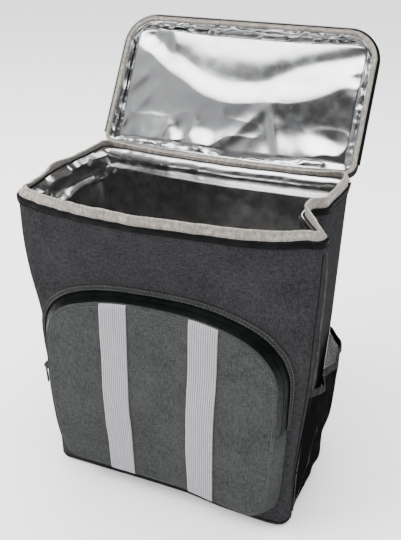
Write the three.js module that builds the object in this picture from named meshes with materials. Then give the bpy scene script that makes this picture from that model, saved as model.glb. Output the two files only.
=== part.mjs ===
// Insulated cooler backpack, standing on its base with its lid thrown open.
// Millimetres, +Z up. The origin is the middle of the base, on the floor. The front faces -Y.
import * as THREE from "three";

// Body
const bodyWidth = 300; // outside, across the front
const bodyDepth = 174; // outside, front to back
const bodyHeight = 354; // floor to the mouth's edge
const cornerRadius = 12; // upright corners
const baseRadius = 5; // turn from the walls to the base
const wallThickness = 5; // fabric quilted over foam
const linerThickness = 1; // foil film
const gap = 0.3; // between pieces that touch
const seamGap = 0.5; // between a piece and the soft wall that it is sewn to

// Mouth trim
const tapeWidth = 7; // zip tape that shows below the mouth's edge
const tapeThickness = 1.2;
const teethSize = 2.2;
const bindingHeight = 14; // the bound seam that stands round the mouth
const bindingThickness = 2.4;

// Lid
const lidOpenAngle = 124.7; // degrees from shut
const lidLength = 166; // hinge to front edge
const lidOverhang = 3; // the lid is this much wider than the body on each side
const lidDepth = 18; // height of its side band
const lidWall = 4;
const lidDome = 5;
const lidCornerRadius = 36; // front corners
const lidRearRadius = 14;
const lidBindingWidth = 11;
const hingeBowReach = 62; // how far up the lid the sag of the hinge reaches
const hingeSetback = 2.6; // the hinge line stands this far behind the body's back edge
const hingeRise = 1.6; // and this far above it
const hingeLeg = 11; // each half of the fabric hinge
const clothThickness = 1.2;

// Front pocket
const pocketWidth = 276; // footprint on the front wall
const pocketBottom = 24;
const pocketTop = 271;
const pocketDepth = 24;
const panelThickness = 2.5;
const panelCrown = 3;
const gussetThickness = 1.8;
const slitWidth = 0.7; // between the two tapes of the pocket's zip
const sliderPlace = 157; // height of its slider
const weltWidth = 9; // the stitched fold above the pocket's zip
const weltThickness = 2.2;
const weltEdge = 0.8; // thickness at the fold's outer edge

// Elastic bands on the pocket
const bandWidth = 30;
const bandLeft = -45; // middle of the left band
const bandRight = 51;
const bandThickness = 1.4;

// Side pockets of netting
const netThickness = 1;
const netHeight = 184; // to the hem at the front edge
const netDrop = 16; // the hem's rear end is this much lower
const netFoot = 10;
const netBulge = 25;
const hemHeight = 10;
const hemThickness = 2;

// Zip sliders
const sliderLength = 11;
const sliderWidth = 8;
const sliderHeight = 4;
const pullLength = 25;
const pullWidth = 5.5;
const pullThickness = 1.6;

// Shoulder straps and carrying loop, on the back
const strapWidth = 60;
const strapThickness = 10;
const webWidth = 25;
const webThickness = 1.8;
const lockWidth = 33;
const lockThickness = 4;
const lockBar = 4.5;
const lockSlot = 6;
const anchorHeight = 26; // where the lower webbing is sewn in
const anchorAcross = 112;
const tailLength = 70;
const loopLength = 128;
const loopStandOff = 30;
const loopDrop = 33; // middle of the carrying loop, below the mouth's edge
const strapDrop = 17; // top of the shoulder straps, below the middle of the loop
const loopHeight = bodyHeight - loopDrop;
const strapTop = loopHeight - strapDrop;

const colours = {
  shell: 0x47484c,
  pocket: 0x565856,
  foil: 0xb9bcbf,
  tape: 0x15171a,
  binding: 0xbdb7ae,
  elastic: 0xd2cfd2,
  net: 0x101112,
  plastic: 0x0c0d0e,
  strap: 0x2c2d30,
};

// Half widths and half depths of the body, as shares of its width and depth, up its height.
const bodySections = [
  { height: 0.0, left: 0.478, right: 0.502, front: 0.505, back: 0.5 },
  { height: 0.3, left: 0.478, right: 0.5, front: 0.5, back: 0.504 },
  { height: 0.5, left: 0.488, right: 0.502, front: 0.5, back: 0.504 },
  { height: 0.62, left: 0.503, right: 0.502, front: 0.5, back: 0.503 },
  { height: 0.74, left: 0.523, right: 0.501, front: 0.5, back: 0.502 },
  { height: 0.86, left: 0.525, right: 0.5, front: 0.5, back: 0.5 },
  { height: 1.0, left: 0.508, right: 0.5, front: 0.5, back: 0.5 },
];

// The slack mouth, side by side: how far its edge stands out, as a share of the body's depth.
const mouthShape = {
  front: [
    { along: -1, out: 0.082 },
    { along: -0.75, out: 0.136 },
    { along: -0.45, out: 0.167 },
    { along: -0.1, out: 0.175 },
    { along: 0.3, out: 0.145 },
    { along: 0.65, out: 0.12 },
    { along: 0.88, out: 0.065 },
    { along: 1, out: 0.01 },
  ],
  right: [
    { along: -1, out: -0.035 },
    { along: -0.85, out: -0.075 },
    { along: -0.6, out: -0.12 },
    { along: -0.4, out: -0.138 },
    { along: -0.22, out: -0.125 },
    { along: -0.1, out: -0.06 },
    { along: 0.05, out: -0.043 },
    { along: 0.35, out: -0.02 },
    { along: 0.65, out: 0.0 },
    { along: 1, out: 0.0 },
  ],
  left: [
    { along: -1, out: 0.03 },
    { along: -0.7, out: 0.036 },
    { along: -0.2, out: 0.055 },
    { along: 0.3, out: 0.03 },
    { along: 0.7, out: 0.01 },
    { along: 1, out: 0.0 },
  ],
  back: [
    { along: -1, out: 0.0 },
    { along: -0.5, out: -0.035 },
    { along: 0.1, out: -0.06 },
    { along: 0.6, out: -0.045 },
    { along: 1, out: 0.0 },
  ],
};

// How far the foot of each wall stands out, as a share of the body's depth, and how that fades up it.
const footShape = {
  front: [
    { along: -1, out: 0.0 },
    { along: 0.1, out: 0.005 },
    { along: 0.5, out: 0.04 },
    { along: 0.9, out: 0.055 },
    { along: 1, out: 0.05 },
  ],
  right: [
    { along: -1, out: 0.03 },
    { along: -0.6, out: 0.01 },
    { along: 1, out: 0.0 },
  ],
};
const footFade = [
  { height: 0.0, share: 1.0 },
  { height: 0.06, share: 0.8 },
  { height: 0.2, share: 0.1 },
  { height: 0.3, share: 0.0 },
];

// How the mouth's shape fades down each wall.
const mouthFade = [
  { height: 0.0, front: 0.0, right: 0.0, left: 0.0, back: 0.0 },
  { height: 0.3, front: 0.05, right: 0.06, left: 0.0, back: 0.0 },
  { height: 0.55, front: 0.14, right: 0.16, left: 0.12, back: 0.05 },
  { height: 0.75, front: 0.33, right: 0.3, left: 0.5, back: 0.2 },
  { height: 0.87, front: 0.58, right: 0.5, left: 0.8, back: 0.5 },
  { height: 1.0, front: 1.0, right: 1.0, left: 1.0, back: 1.0 },
];

// The upright ridge on the right wall, behind the front seam, as a share of the body's depth.
const ridgeAcross = [
  { along: -1, out: 0.0 },
  { along: -0.8, out: 0.032 },
  { along: -0.55, out: 0.004 },
  { along: -0.3, out: 0.0 },
];
const ridgeUp = [
  { height: 0.0, share: 0.1 },
  { height: 0.3, share: 0.7 },
  { height: 0.6, share: 1.0 },
  { height: 0.85, share: 0.9 },
  { height: 1.0, share: 0.0 },
];

// How the bound seam round the mouth leans inward, in degrees, and how tall it stands there.
const bindingShape = {
  front: [
    { along: -1, lean: 42, rise: 0.9 },
    { along: -0.7, lean: 24, rise: 1.0 },
    { along: -0.3, lean: 10, rise: 1.0 },
    { along: 0.4, lean: 10, rise: 1.0 },
    { along: 0.75, lean: 24, rise: 0.95 },
    { along: 1, lean: 36, rise: 0.75 },
  ],
  right: [
    { along: -1, lean: 36, rise: 0.75 },
    { along: -0.7, lean: 14, rise: 0.95 },
    { along: 0, lean: 8, rise: 0.95 },
    { along: 0.7, lean: 16, rise: 0.9 },
    { along: 1, lean: 30, rise: 0.7 },
  ],
  left: [
    { along: -1, lean: 42, rise: 0.9 },
    { along: -0.6, lean: 44, rise: 0.9 },
    { along: -0.35, lean: 30, rise: 1.1 },
    { along: 0.1, lean: 46, rise: 0.9 },
    { along: 1, lean: 30, rise: 0.7 },
  ],
  back: [
    { along: -1, lean: 30, rise: 0.7 },
    { along: -0.8, lean: 14, rise: 0.6 },
    { along: 0, lean: 8, rise: 0.5 },
    { along: 0.8, lean: 14, rise: 0.6 },
    { along: 1, lean: 30, rise: 0.7 },
  ],
};

// Soft ridges in the lid's foil, each from one place to another. Across is a share of the lid's half width,
// up is a share of its length, and height and width are shares of its depth and length.
const lidFolds = [
  { fromAcross: -0.85, fromUp: 0.9, toAcross: -0.35, toUp: 0.5, height: 0.34, width: 0.1 },
  { fromAcross: -0.35, fromUp: 0.5, toAcross: 0.25, toUp: 0.42, height: 0.36, width: 0.13 },
  { fromAcross: 0.25, fromUp: 0.42, toAcross: 0.9, toUp: 0.85, height: 0.38, width: 0.14 },
  { fromAcross: -0.15, fromUp: 0.08, toAcross: 0.12, toUp: 0.36, height: 0.3, width: 0.08 },
  { fromAcross: -0.8, fromUp: 0.12, toAcross: -0.4, toUp: 0.3, height: 0.24, width: 0.1 },
  { fromAcross: 0.45, fromUp: 0.1, toAcross: 0.85, toUp: 0.14, height: 0.3, width: 0.12 },
];

// The pocket's outline on the wall and the outline of its panel, as shares of its half width and height,
// from the middle of its foot round its right side.
const pocketRows = [
  { across: 0.000, up: 0.000, panelAcross: 0.000, panelUp: 0.016 },
  { across: 0.326, up: 0.000, panelAcross: 0.312, panelUp: 0.012 },
  { across: 0.652, up: -0.012, panelAcross: 0.609, panelUp: -0.004 },
  { across: 0.855, up: -0.016, panelAcross: 0.783, panelUp: -0.012 },
  { across: 0.957, up: 0.012, panelAcross: 0.891, panelUp: 0.020 },
  { across: 0.993, up: 0.073, panelAcross: 0.938, panelUp: 0.085 },
  { across: 1.000, up: 0.219, panelAcross: 0.949, panelUp: 0.215 },
  { across: 1.000, up: 0.356, panelAcross: 0.949, panelUp: 0.356 },
  { across: 0.996, up: 0.457, panelAcross: 0.949, panelUp: 0.457 },
  { across: 0.993, up: 0.551, panelAcross: 0.946, panelUp: 0.543 },
  { across: 0.986, up: 0.684, panelAcross: 0.935, panelUp: 0.656 },
  { across: 0.964, up: 0.749, panelAcross: 0.928, panelUp: 0.725 },
  { across: 0.899, up: 0.826, panelAcross: 0.877, panelUp: 0.802 },
  { across: 0.768, up: 0.903, panelAcross: 0.754, panelUp: 0.879 },
  { across: 0.572, up: 0.957, panelAcross: 0.572, panelUp: 0.931 },
  { across: 0.319, up: 0.992, panelAcross: 0.333, panelUp: 0.964 },
  { across: 0.058, up: 1.002, panelAcross: 0.058, panelUp: 0.978 },
  { across: -0.217, up: 0.998, panelAcross: -0.225, panelUp: 0.976 },
  { across: -0.428, up: 0.984, panelAcross: -0.420, panelUp: 0.960 },
  { across: -0.601, up: 0.960, panelAcross: -0.572, panelUp: 0.937 },
  { across: -0.754, up: 0.923, panelAcross: -0.710, panelUp: 0.907 },
  { across: -0.884, up: 0.870, panelAcross: -0.812, panelUp: 0.866 },
  { across: -0.971, up: 0.806, panelAcross: -0.884, panelUp: 0.810 },
  { across: -1.011, up: 0.737, panelAcross: -0.920, panelUp: 0.729 },
  { across: -1.022, up: 0.652, panelAcross: -0.931, panelUp: 0.628 },
  { across: -1.014, up: 0.510, panelAcross: -0.935, panelUp: 0.494 },
  { across: -1.000, up: 0.389, panelAcross: -0.931, panelUp: 0.381 },
  { across: -0.978, up: 0.235, panelAcross: -0.917, panelUp: 0.243 },
  { across: -0.949, up: 0.089, panelAcross: -0.880, panelUp: 0.097 },
  { across: -0.913, up: 0.028, panelAcross: -0.841, panelUp: 0.040 },
  { across: -0.812, up: 0.004, panelAcross: -0.746, panelUp: 0.024 },
  { across: -0.565, up: 0.004, panelAcross: -0.536, panelUp: 0.020 },
  { across: -0.275, up: 0.002, panelAcross: -0.261, panelUp: 0.016 },
];
const zipRightRow = 8; // rows where the pocket's zip ends
const zipLeftRow = 26;

// How deep the pocket is up its height.
const pocketSections = [
  { height: 0.0, depth: 0.6 },
  { height: 0.2, depth: 0.9 },
  { height: 0.6, depth: 0.95 },
  { height: 1.0, depth: 0.56 },
];

// The bulge of the netting, across a side from front to back and down from its hem.
const netAcross = [
  { along: -1, out: 0.0, ripple: 0.0 },
  { along: -0.75, out: 0.36, ripple: 0.06 },
  { along: -0.45, out: 0.72, ripple: -0.05 },
  { along: -0.1, out: 0.98, ripple: 0.07 },
  { along: 0.2, out: 1.0, ripple: -0.06 },
  { along: 0.55, out: 0.8, ripple: 0.06 },
  { along: 0.8, out: 0.42, ripple: -0.03 },
  { along: 1, out: 0.0, ripple: 0.0 },
];
const netUp = [
  { height: 0.0, out: 0.0 },
  { height: 0.08, out: 0.5 },
  { height: 0.2, out: 0.58 },
  { height: 0.35, out: 0.62 },
  { height: 0.55, out: 0.92 },
  { height: 0.8, out: 1.0 },
  { height: 1.0, out: 0.9 },
];

// The middle line of a padded shoulder strap, as shares of the strap's top, the body's depth and its width.
const strapLine = [
  { height: 1.0, out: 0.0188, across: 0.15, width: 0.92, thick: 0.62 },
  { height: 0.953, out: 0.085, across: 0.152, width: 1.0, thick: 1.0 },
  { height: 0.86, out: 0.19, across: 0.158, width: 1.0, thick: 1.0 },
  { height: 0.744, out: 0.28, across: 0.172, width: 1.0, thick: 1.0 },
  { height: 0.605, out: 0.325, across: 0.2, width: 0.98, thick: 1.0 },
  { height: 0.477, out: 0.31, across: 0.24, width: 0.92, thick: 1.0 },
  { height: 0.39, out: 0.27, across: 0.272, width: 0.8, thick: 0.9 },
  { height: 0.355, out: 0.25, across: 0.286, width: 0.55, thick: 0.5 },
];

const radians = THREE.MathUtils.degToRad;
const group = new THREE.Group();
const material = Object.fromEntries(
  Object.entries(colours).map(([name, color]) => [
    name,
    new THREE.MeshStandardMaterial({
      color,
      roughness: name === "foil" ? 0.25 : name === "plastic" ? 0.45 : 0.9,
      metalness: name === "foil" ? 1 : 0,
    }),
  ]),
);

function add(name, geometry, finish, parent = group) {
  const mesh = new THREE.Mesh(geometry, material[finish]);
  mesh.name = name;
  parent.add(mesh);
  return mesh;
}

// A smooth value of one column of a table whose rows are in the order of the column `by`.
function read(rows, by, column, at) {
  const last = rows.length - 1;
  if (at <= rows[0][by]) return rows[0][column];
  if (at >= rows[last][by]) return rows[last][column];
  let k = 0;
  while (at > rows[k + 1][by]) k += 1;
  const slope = (i) => {
    const before = rows[Math.max(i - 1, 0)];
    const after = rows[Math.min(i + 1, last)];
    return (after[column] - before[column]) / (after[by] - before[by]);
  };
  const span = rows[k + 1][by] - rows[k][by];
  const t = (at - rows[k][by]) / span;
  return (
    rows[k][column] * (1 + 2 * t) * (1 - t) ** 2 +
    rows[k + 1][column] * t * t * (3 - 2 * t) +
    slope(k) * span * t * (1 - t) ** 2 +
    slope(k + 1) * span * t * t * (t - 1)
  );
}

const spread = (from, to, count) =>
  Array.from({ length: count + 1 }, (_, i) => from + ((to - from) * i) / count);
const mean = (points) =>
  points.reduce((sum, p) => sum.add(p), new THREE.Vector3()).divideScalar(points.length);

// A geometry of points and triangles, turned round if it would be inside out.
function solid(points, triangles) {
  const volume = triangles.reduce((sum, [a, b, c]) => {
    return sum + points[a].dot(new THREE.Vector3().crossVectors(points[b], points[c]));
  }, 0);
  const index = triangles.flatMap(([a, b, c]) => (volume < 0 ? [a, c, b] : [a, b, c]));
  const geometry = new THREE.BufferGeometry().setFromPoints(points).setIndex(index);
  geometry.computeVertexNormals();
  return geometry;
}

const quad = (a, b, c, d) => [
  [a, b, c],
  [a, c, d],
];

// A closed solid from rings of points. Neighbours are joined, and a fan to the middle closes each end.
// Every four-sided facet is split along the line that rises from its first column, so nested walls match.
function stack(rings) {
  const count = rings[0].length;
  const points = rings.flat();
  const triangles = [];
  for (let r = 0; r < rings.length - 1; r += 1)
    for (let i = 0; i < count; i += 1) {
      const j = (i + 1) % count;
      const [a, b, c, d] = [r * count + i, r * count + j, (r + 1) * count + j, (r + 1) * count + i];
      triangles.push(...(points[a].z > points[d].z ? quad(b, c, d, a) : quad(a, b, c, d)));
    }
  [
    [0, true],
    [rings.length - 1, false],
  ].forEach(([r, first]) => {
    const middle = points.push(mean(rings[r])) - 1;
    for (let i = 0; i < count; i += 1) {
      const [a, b] = [r * count + i, r * count + ((i + 1) % count)];
      triangles.push(first ? [middle, b, a] : [middle, a, b]);
    }
  });
  return solid(points, triangles);
}

// A closed sheet between two grids of points. Each grid is a row of columns, and a loop joins its last
// column to the first.
function sheet(outer, inner, loop = false) {
  const columns = outer.length;
  const rows = outer[0].length;
  const points = [...outer.flat(), ...inner.flat()];
  const at = (side, i, j) => side * columns * rows + (i % columns) * rows + j;
  const triangles = [];
  const steps = loop ? columns : columns - 1;
  for (let i = 0; i < steps; i += 1) {
    for (let j = 0; j < rows - 1; j += 1) {
      triangles.push(...quad(at(0, i, j), at(0, i + 1, j), at(0, i + 1, j + 1), at(0, i, j + 1)));
      triangles.push(...quad(at(1, i, j), at(1, i, j + 1), at(1, i + 1, j + 1), at(1, i + 1, j)));
    }
    triangles.push(...quad(at(0, i + 1, 0), at(0, i, 0), at(1, i, 0), at(1, i + 1, 0)));
    const top = rows - 1;
    triangles.push(...quad(at(0, i, top), at(0, i + 1, top), at(1, i + 1, top), at(1, i, top)));
  }
  if (!loop)
    for (let j = 0; j < rows - 1; j += 1) {
      const end = columns - 1;
      triangles.push(...quad(at(0, 0, j), at(0, 0, j + 1), at(1, 0, j + 1), at(1, 0, j)));
      triangles.push(...quad(at(0, end, j + 1), at(0, end, j), at(1, end, j), at(1, end, j + 1)));
    }
  return solid(points, triangles);
}

// The points of a flat loop moved outward in its own plane, whose normal is up. An open line keeps its ends.
function offset(points, distance, up, open = false) {
  const count = points.length;
  return points.map((p, i) => {
    const before = points[open ? Math.max(i - 1, 0) : (i + count - 1) % count];
    const after = points[open ? Math.min(i + 1, count - 1) : (i + 1) % count];
    const out = new THREE.Vector3().subVectors(after, before).cross(up).normalize();
    const amount = typeof distance === "function" ? distance(i) : distance;
    return p.clone().addScaledVector(out, amount);
  });
}

// Places round a rectangle with rounded corners, anticlockwise from the rear right corner seen from above.
// x and y run from -1 to 1 over the straight sides, and turnX, turnY point out of the corner's arc.
function places(sides, cornerSteps) {
  const found = [];
  const straight = (side, shares, x, y) => {
    const [turnX, turnY] = { back: [0, 1], left: [-1, 0], front: [0, -1], right: [1, 0] }[side];
    for (const s of shares) found.push({ side, along: s, x: x ?? s, y: y ?? s, turnX, turnY });
  };
  const corner = (side, next, x, y, start) => {
    const alongOf = (name) => (name === "left" || name === "right" ? y : x);
    for (let k = 1; k < cornerSteps; k += 1) {
      const angle = radians(start + (90 * k) / cornerSteps);
      const turn = { turnX: Math.cos(angle), turnY: Math.sin(angle) };
      const blend = { along: alongOf(side), next, nextAlong: alongOf(next), share: k / cornerSteps };
      found.push({ side, ...blend, x, y, ...turn });
    }
  };
  straight("back", [...sides.back].reverse(), null, 1);
  corner("back", "left", -1, 1, 90);
  straight("left", [...sides.left].reverse(), -1, null);
  corner("left", "front", -1, -1, 180);
  straight("front", sides.front, null, -1);
  corner("front", "right", 1, -1, 270);
  straight("right", sides.right, 1, null);
  corner("right", "back", 1, 1, 0);
  return found;
}

const up = new THREE.Vector3(0, 0, 1);
const bodyPlaces = places(
  {
    front: [-1, -0.84, -0.68, -0.45, -0.2, 0.05, 0.3, 0.52, 0.72, 0.88, 1],
    right: [-1, -0.87, -0.73, -0.57, -0.4, -0.22, -0.1, 0.05, 0.35, 0.65, 1],
    left: [-1, -0.7, -0.4, -0.1, 0.25, 0.6, 1],
    back: spread(-1, 1, 6),
  },
  3,
);

// How far a wall stands out of its flat place.
function swell(side, along, height) {
  const mouth = read(mouthShape[side], "along", "out", along) * read(mouthFade, "height", side, height);
  const rows = footShape[side];
  const foot = rows ? read(rows, "along", "out", along) * read(footFade, "height", "share", height) : 0;
  if (side !== "right") return bodyDepth * (mouth + foot);
  const ridge = read(ridgeAcross, "along", "out", along) * read(ridgeUp, "height", "share", height);
  return bodyDepth * (mouth + foot + ridge);
}

function swellAt({ side, along, next, nextAlong, share }, height) {
  const here = swell(side, along, height);
  return next ? THREE.MathUtils.lerp(here, swell(next, nextAlong, height), share) : here;
}

function halfSizes(height) {
  const share = (column) => read(bodySections, "height", column, height);
  return {
    left: share("left") * bodyWidth,
    right: share("right") * bodyWidth,
    front: share("front") * bodyDepth,
    back: share("back") * bodyDepth,
  };
}

// One ring of the body's outside at height z, moved outward by out.
function bodyRing(z, out = 0) {
  const height = Math.min(z / bodyHeight, 1);
  const half = halfSizes(height);
  const ring = bodyPlaces.map((place) => {
    const stand = cornerRadius + swellAt(place, height);
    const [acrossPart, deepPart] = [(place.x + 1) / 2, (place.y + 1) / 2];
    const across = THREE.MathUtils.lerp(cornerRadius - half.left, half.right - cornerRadius, acrossPart);
    const deep = THREE.MathUtils.lerp(cornerRadius - half.front, half.back - cornerRadius, deepPart);
    return new THREE.Vector3(across + place.turnX * stand, deep + place.turnY * stand, z);
  });
  return offset(ring, out, up);
}

// The outside of one wall at a place along it and a height: y for the front and back, x for the sides.
const wallAt = {
  front: (along, z) => -halfSizes(z / bodyHeight).front - swell("front", along, z / bodyHeight),
  back: (along, z) => halfSizes(z / bodyHeight).back + swell("back", along, z / bodyHeight),
  right: (along, z) => halfSizes(z / bodyHeight).right + swell("right", along, z / bodyHeight),
  left: (along, z) => -halfSizes(z / bodyHeight).left - swell("left", along, z / bodyHeight),
};
const acrossShare = (x) => THREE.MathUtils.clamp(x / (bodyWidth / 2 - cornerRadius), -1, 1);
const backAt = (x, z) => wallAt.back(acrossShare(x), z);

const tapeFoot = bodyHeight - tapeWidth;
const teethFoot = tapeFoot - gap - teethSize;
const wallHeights = [0.18, 0.38, 0.56, 0.7, 0.8, 0.89].map((share) => share * bodyHeight);

function buildBody() {
  const bend = (angle) => {
    const turn = radians(angle);
    return bodyRing(baseRadius * (1 - Math.sin(turn)), -baseRadius * (1 - Math.cos(turn)));
  };
  const outsideHeights = [baseRadius, ...wallHeights, teethFoot, tapeFoot, bodyHeight];
  const insideHeights = [...wallHeights, tapeFoot, bodyHeight];
  const outside = [bend(90), bend(45), ...outsideHeights.map((z) => bodyRing(z))];
  const inside = [wallThickness, ...insideHeights].reverse().map((z) => bodyRing(z, -wallThickness));
  const shell = add("body_shell", stack([...outside, ...inside]), "shell");

  const linerOut = -(wallThickness + seamGap);
  const linerIn = linerOut - linerThickness;
  const floor = wallThickness + gap;
  const rings = [
    ...[floor, ...insideHeights].map((z) => bodyRing(z, linerOut)),
    ...[floor + linerThickness, ...insideHeights].reverse().map((z) => bodyRing(z, linerIn)),
  ];
  add("foil_liner", stack(rings), "foil");
  return shell;
}

// A band round the front and both sides, between four rings in order round its section.
function openBand(rings, list) {
  const used = list.map(({ turnY }, i) => (turnY <= 0 ? i : -1)).filter((i) => i >= 0);
  const columns = (pair) => used.map((i) => pair.map((k) => rings[k][i]));
  return sheet(columns([0, 1]), columns([3, 2]));
}

function buildMouthTrim() {
  const ribbon = (foot, top, thickness) => {
    const rings = [bodyRing(foot, seamGap + thickness), bodyRing(top, seamGap + thickness)];
    return openBand([...rings, bodyRing(top, seamGap), bodyRing(foot, seamGap)], bodyPlaces);
  };
  add("mouth_zip_tape", ribbon(tapeFoot, bodyHeight, tapeThickness), "tape");
  add("mouth_zip_teeth", ribbon(teethFoot, teethFoot + teethSize, teethSize), "tape");

  // Each place has its own lean, so the seam's upper edge is worked out point by point.
  const foot = bodyRing(bodyHeight);
  const shape = ({ side, along, next, nextAlong, share }, column) => {
    const here = read(bindingShape[side], "along", column, along);
    if (!next) return here;
    return THREE.MathUtils.lerp(here, read(bindingShape[next], "along", column, nextAlong), share);
  };
  const lean = bodyPlaces.map((place) => radians(shape(place, "lean")));
  const rise = bodyPlaces.map((place) => bindingHeight * shape(place, "rise"));
  const line = (part, inward) => {
    const out = (i) => -gap - Math.sin(lean[i]) * rise[i] * part - Math.cos(lean[i]) * inward;
    const high = (i) =>
      gap + Math.cos(lean[i]) * rise[i] * part + Math.sin(lean[i]) * (bindingThickness - inward);
    return offset(foot, out, up).map((p, i) => p.setZ(bodyHeight + high(i)));
  };
  const columns = (inward) => {
    const lines = [0, 0.5, 1].map((part) => line(part, inward));
    return foot.map((_, i) => lines.map((one) => one[i]));
  };
  add("mouth_binding", sheet(columns(0), columns(bindingThickness), true), "binding");
}

// The lid is modelled shut, with its hinge along the X axis, and its group turns it open.
const lidHalf = bodyWidth / 2 + lidOverhang;
const lidPlaces = places(
  { front: spread(-1, 1, 7), right: spread(-1, 1, 4), left: spread(-1, 1, 4), back: spread(-1, 1, 8) },
  4,
);
const lidAngle = radians(lidOpenAngle);
const hingeLine = new THREE.Vector3(0, halfSizes(1).back + hingeSetback, bodyHeight + hingeRise);
const lidMiddle = new THREE.Vector3(0, -lidLength / 2, 0);

// The sag of the hinge, carried a little way up the lid.
function sagged(p) {
  const near = Math.max(0, 1 + Math.min(p.y, 0) / hingeBowReach);
  const sag = -swell("back", acrossShare(p.x), 1) * near ** 2;
  return p.clone().add(new THREE.Vector3(0, -Math.cos(lidAngle) * sag, -Math.sin(lidAngle) * sag));
}

function lidRing(inset, z, share = 1) {
  const ring = lidPlaces.map(({ x, y, turnX, turnY }) => {
    const r = THREE.MathUtils.lerp(lidCornerRadius, lidRearRadius, (y + 1) / 2);
    const deep = THREE.MathUtils.lerp(lidCornerRadius - lidLength, -lidRearRadius, (y + 1) / 2);
    return new THREE.Vector3(x * (lidHalf - r) + turnX * r, deep + turnY * r, 0);
  });
  return offset(ring, -inset, up).map((p) => {
    const q = lidMiddle.clone().lerp(p, share);
    return sagged(q.setZ(typeof z === "function" ? z(q) : z));
  });
}

// How far the lid's foil stands off its panel.
function foldHeight(p) {
  const toEdge = Math.min(lidHalf - Math.abs(p.x), -p.y, lidLength + p.y) - lidWall;
  const inner = THREE.MathUtils.smoothstep(toEdge, 0, 0.16 * lidLength);
  const heights = lidFolds.map((fold) => {
    const from = new THREE.Vector2(fold.fromAcross * lidHalf, -fold.fromUp * lidLength);
    const line = new THREE.Vector2(fold.toAcross * lidHalf, -fold.toUp * lidLength).sub(from);
    const point = new THREE.Vector2(p.x, p.y).sub(from);
    const t = THREE.MathUtils.clamp(point.dot(line) / line.lengthSq(), 0, 1);
    const away = point.sub(line.multiplyScalar(t)).length() / (fold.width * lidLength);
    return fold.height * lidDepth * Math.exp(-away * away);
  });
  const total = heights.reduce((sum, h) => sum + h, 0);
  return inner * Math.min(total, lidDepth / 2);
}

function buildLid() {
  const lid = new THREE.Group();
  lid.position.copy(hingeLine);
  lid.rotation.x = -lidAngle;
  group.add(lid);

  const shares = [0.3, 0.62, 0.86];
  const dome = (p) => {
    const reach = Math.max(Math.abs(p.x) / lidHalf, Math.abs((2 * p.y) / lidLength + 1));
    return lidDepth + lidDome * (1 - Math.min(reach, 1) ** 2);
  };
  const inside = lidDepth - lidWall;
  const shellRings = [
    ...shares.map((s) => lidRing(0, dome, s)),
    lidRing(lidWall / 2, lidDepth),
    lidRing(0, lidDepth - lidWall / 2),
    lidRing(0, 0),
    lidRing(lidWall, 0),
    lidRing(lidWall, inside),
    ...shares.toReversed().map((s) => lidRing(lidWall, (p) => dome(p) - lidWall, s)),
  ];
  add("lid_shell", stack(shellRings), "shell", lid);

  const foilOut = lidWall + gap;
  const foilIn = foilOut + linerThickness;
  const foilTop = inside - gap;
  const foilShares = [0.2, 0.38, 0.56, 0.72, 0.87];
  const foilRings = [
    ...foilShares.map((s) => lidRing(foilOut, (p) => foilTop - foldHeight(p), s)),
    lidRing(foilOut, foilTop),
    lidRing(foilOut, 0),
    lidRing(foilIn, 0),
    lidRing(foilIn, foilTop - linerThickness),
    ...foilShares
      .toReversed()
      .map((s) => lidRing(foilIn, (p) => foilTop - linerThickness - foldHeight(p), s)),
  ];
  add("lid_foil", stack(foilRings), "foil", lid);

  // A band round the lid's edge between two insets and two heights.
  const ribbon = (outer, inner, low, high, loop) => {
    const rings = [lidRing(outer, low), lidRing(outer, high), lidRing(inner, high), lidRing(inner, low)];
    if (!loop) return openBand(rings, lidPlaces);
    const columns = (pair) => lidPlaces.map((_, i) => pair.map((k) => rings[k][i]));
    return sheet(columns([0, 1]), columns([3, 2]), true);
  };
  add("lid_binding", ribbon(0, lidBindingWidth, -gap - bindingThickness, -gap, true), "binding", lid);
  add("lid_zip_tape", ribbon(-gap - tapeThickness, -gap, 0, tapeWidth, false), "tape", lid);
  add("lid_zip_teeth", ribbon(-gap - teethSize, -gap, -gap - teethSize, -gap, false), "tape", lid);

  // The hinge runs down the body's back on one leg and along the lid's rear edge on the other.
  const hingeAxis = new THREE.Vector3(1, 0, 0);
  const fromLid = (x, y, z) =>
    sagged(new THREE.Vector3(x, y, z)).applyAxisAngle(hingeAxis, -lidAngle).add(hingeLine);
  const half = bodyWidth / 2 - cornerRadius - 6;
  const hingeSide = (off) =>
    spread(-half, half, 8).map((x) => {
      const wall = (z) => new THREE.Vector3(x, backAt(x, z) + off, z);
      const start = fromLid(x, off, 0);
      const end = fromLid(x, off, hingeLeg);
      const slope = (end.z - start.z) / (end.y - start.y);
      const y = backAt(x, bodyHeight) + off;
      const bend = new THREE.Vector3(x, y, start.z + (y - start.y) * slope);
      return [wall(bodyHeight - hingeLeg), bend, end];
    });
  add("lid_hinge", sheet(hingeSide(seamGap + clothThickness), hingeSide(seamGap)), "binding");
}

// The pocket's outline on the wall and that of its panel, as pairs of across and height.
const pocketPlace = (across, share) => [
  (across * pocketWidth) / 2,
  THREE.MathUtils.lerp(pocketBottom, pocketTop, share),
];
const footLine = pocketRows.map(({ across, up: share }) => pocketPlace(across, share));
const panelLine = pocketRows.map(({ panelAcross, panelUp }) => pocketPlace(panelAcross, panelUp));

// The height of the panel's edge at a place across it, on its arch or on its foot.
function panelEdgeAt(across, arch) {
  const count = panelLine.length;
  const first = arch ? zipRightRow : zipLeftRow;
  const last = arch ? zipLeftRow : zipRightRow + count;
  for (let k = first; k < last; k += 1) {
    const [[x0, z0], [x1, z1]] = [panelLine[k % count], panelLine[(k + 1) % count]];
    const crossed = (x0 - across) * (x1 - across) <= 0 && Math.abs(x1 - x0) > 1;
    if (crossed) return THREE.MathUtils.mapLinear(across, x0, x1, z0, z1);
  }
  return pocketBottom;
}

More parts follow.
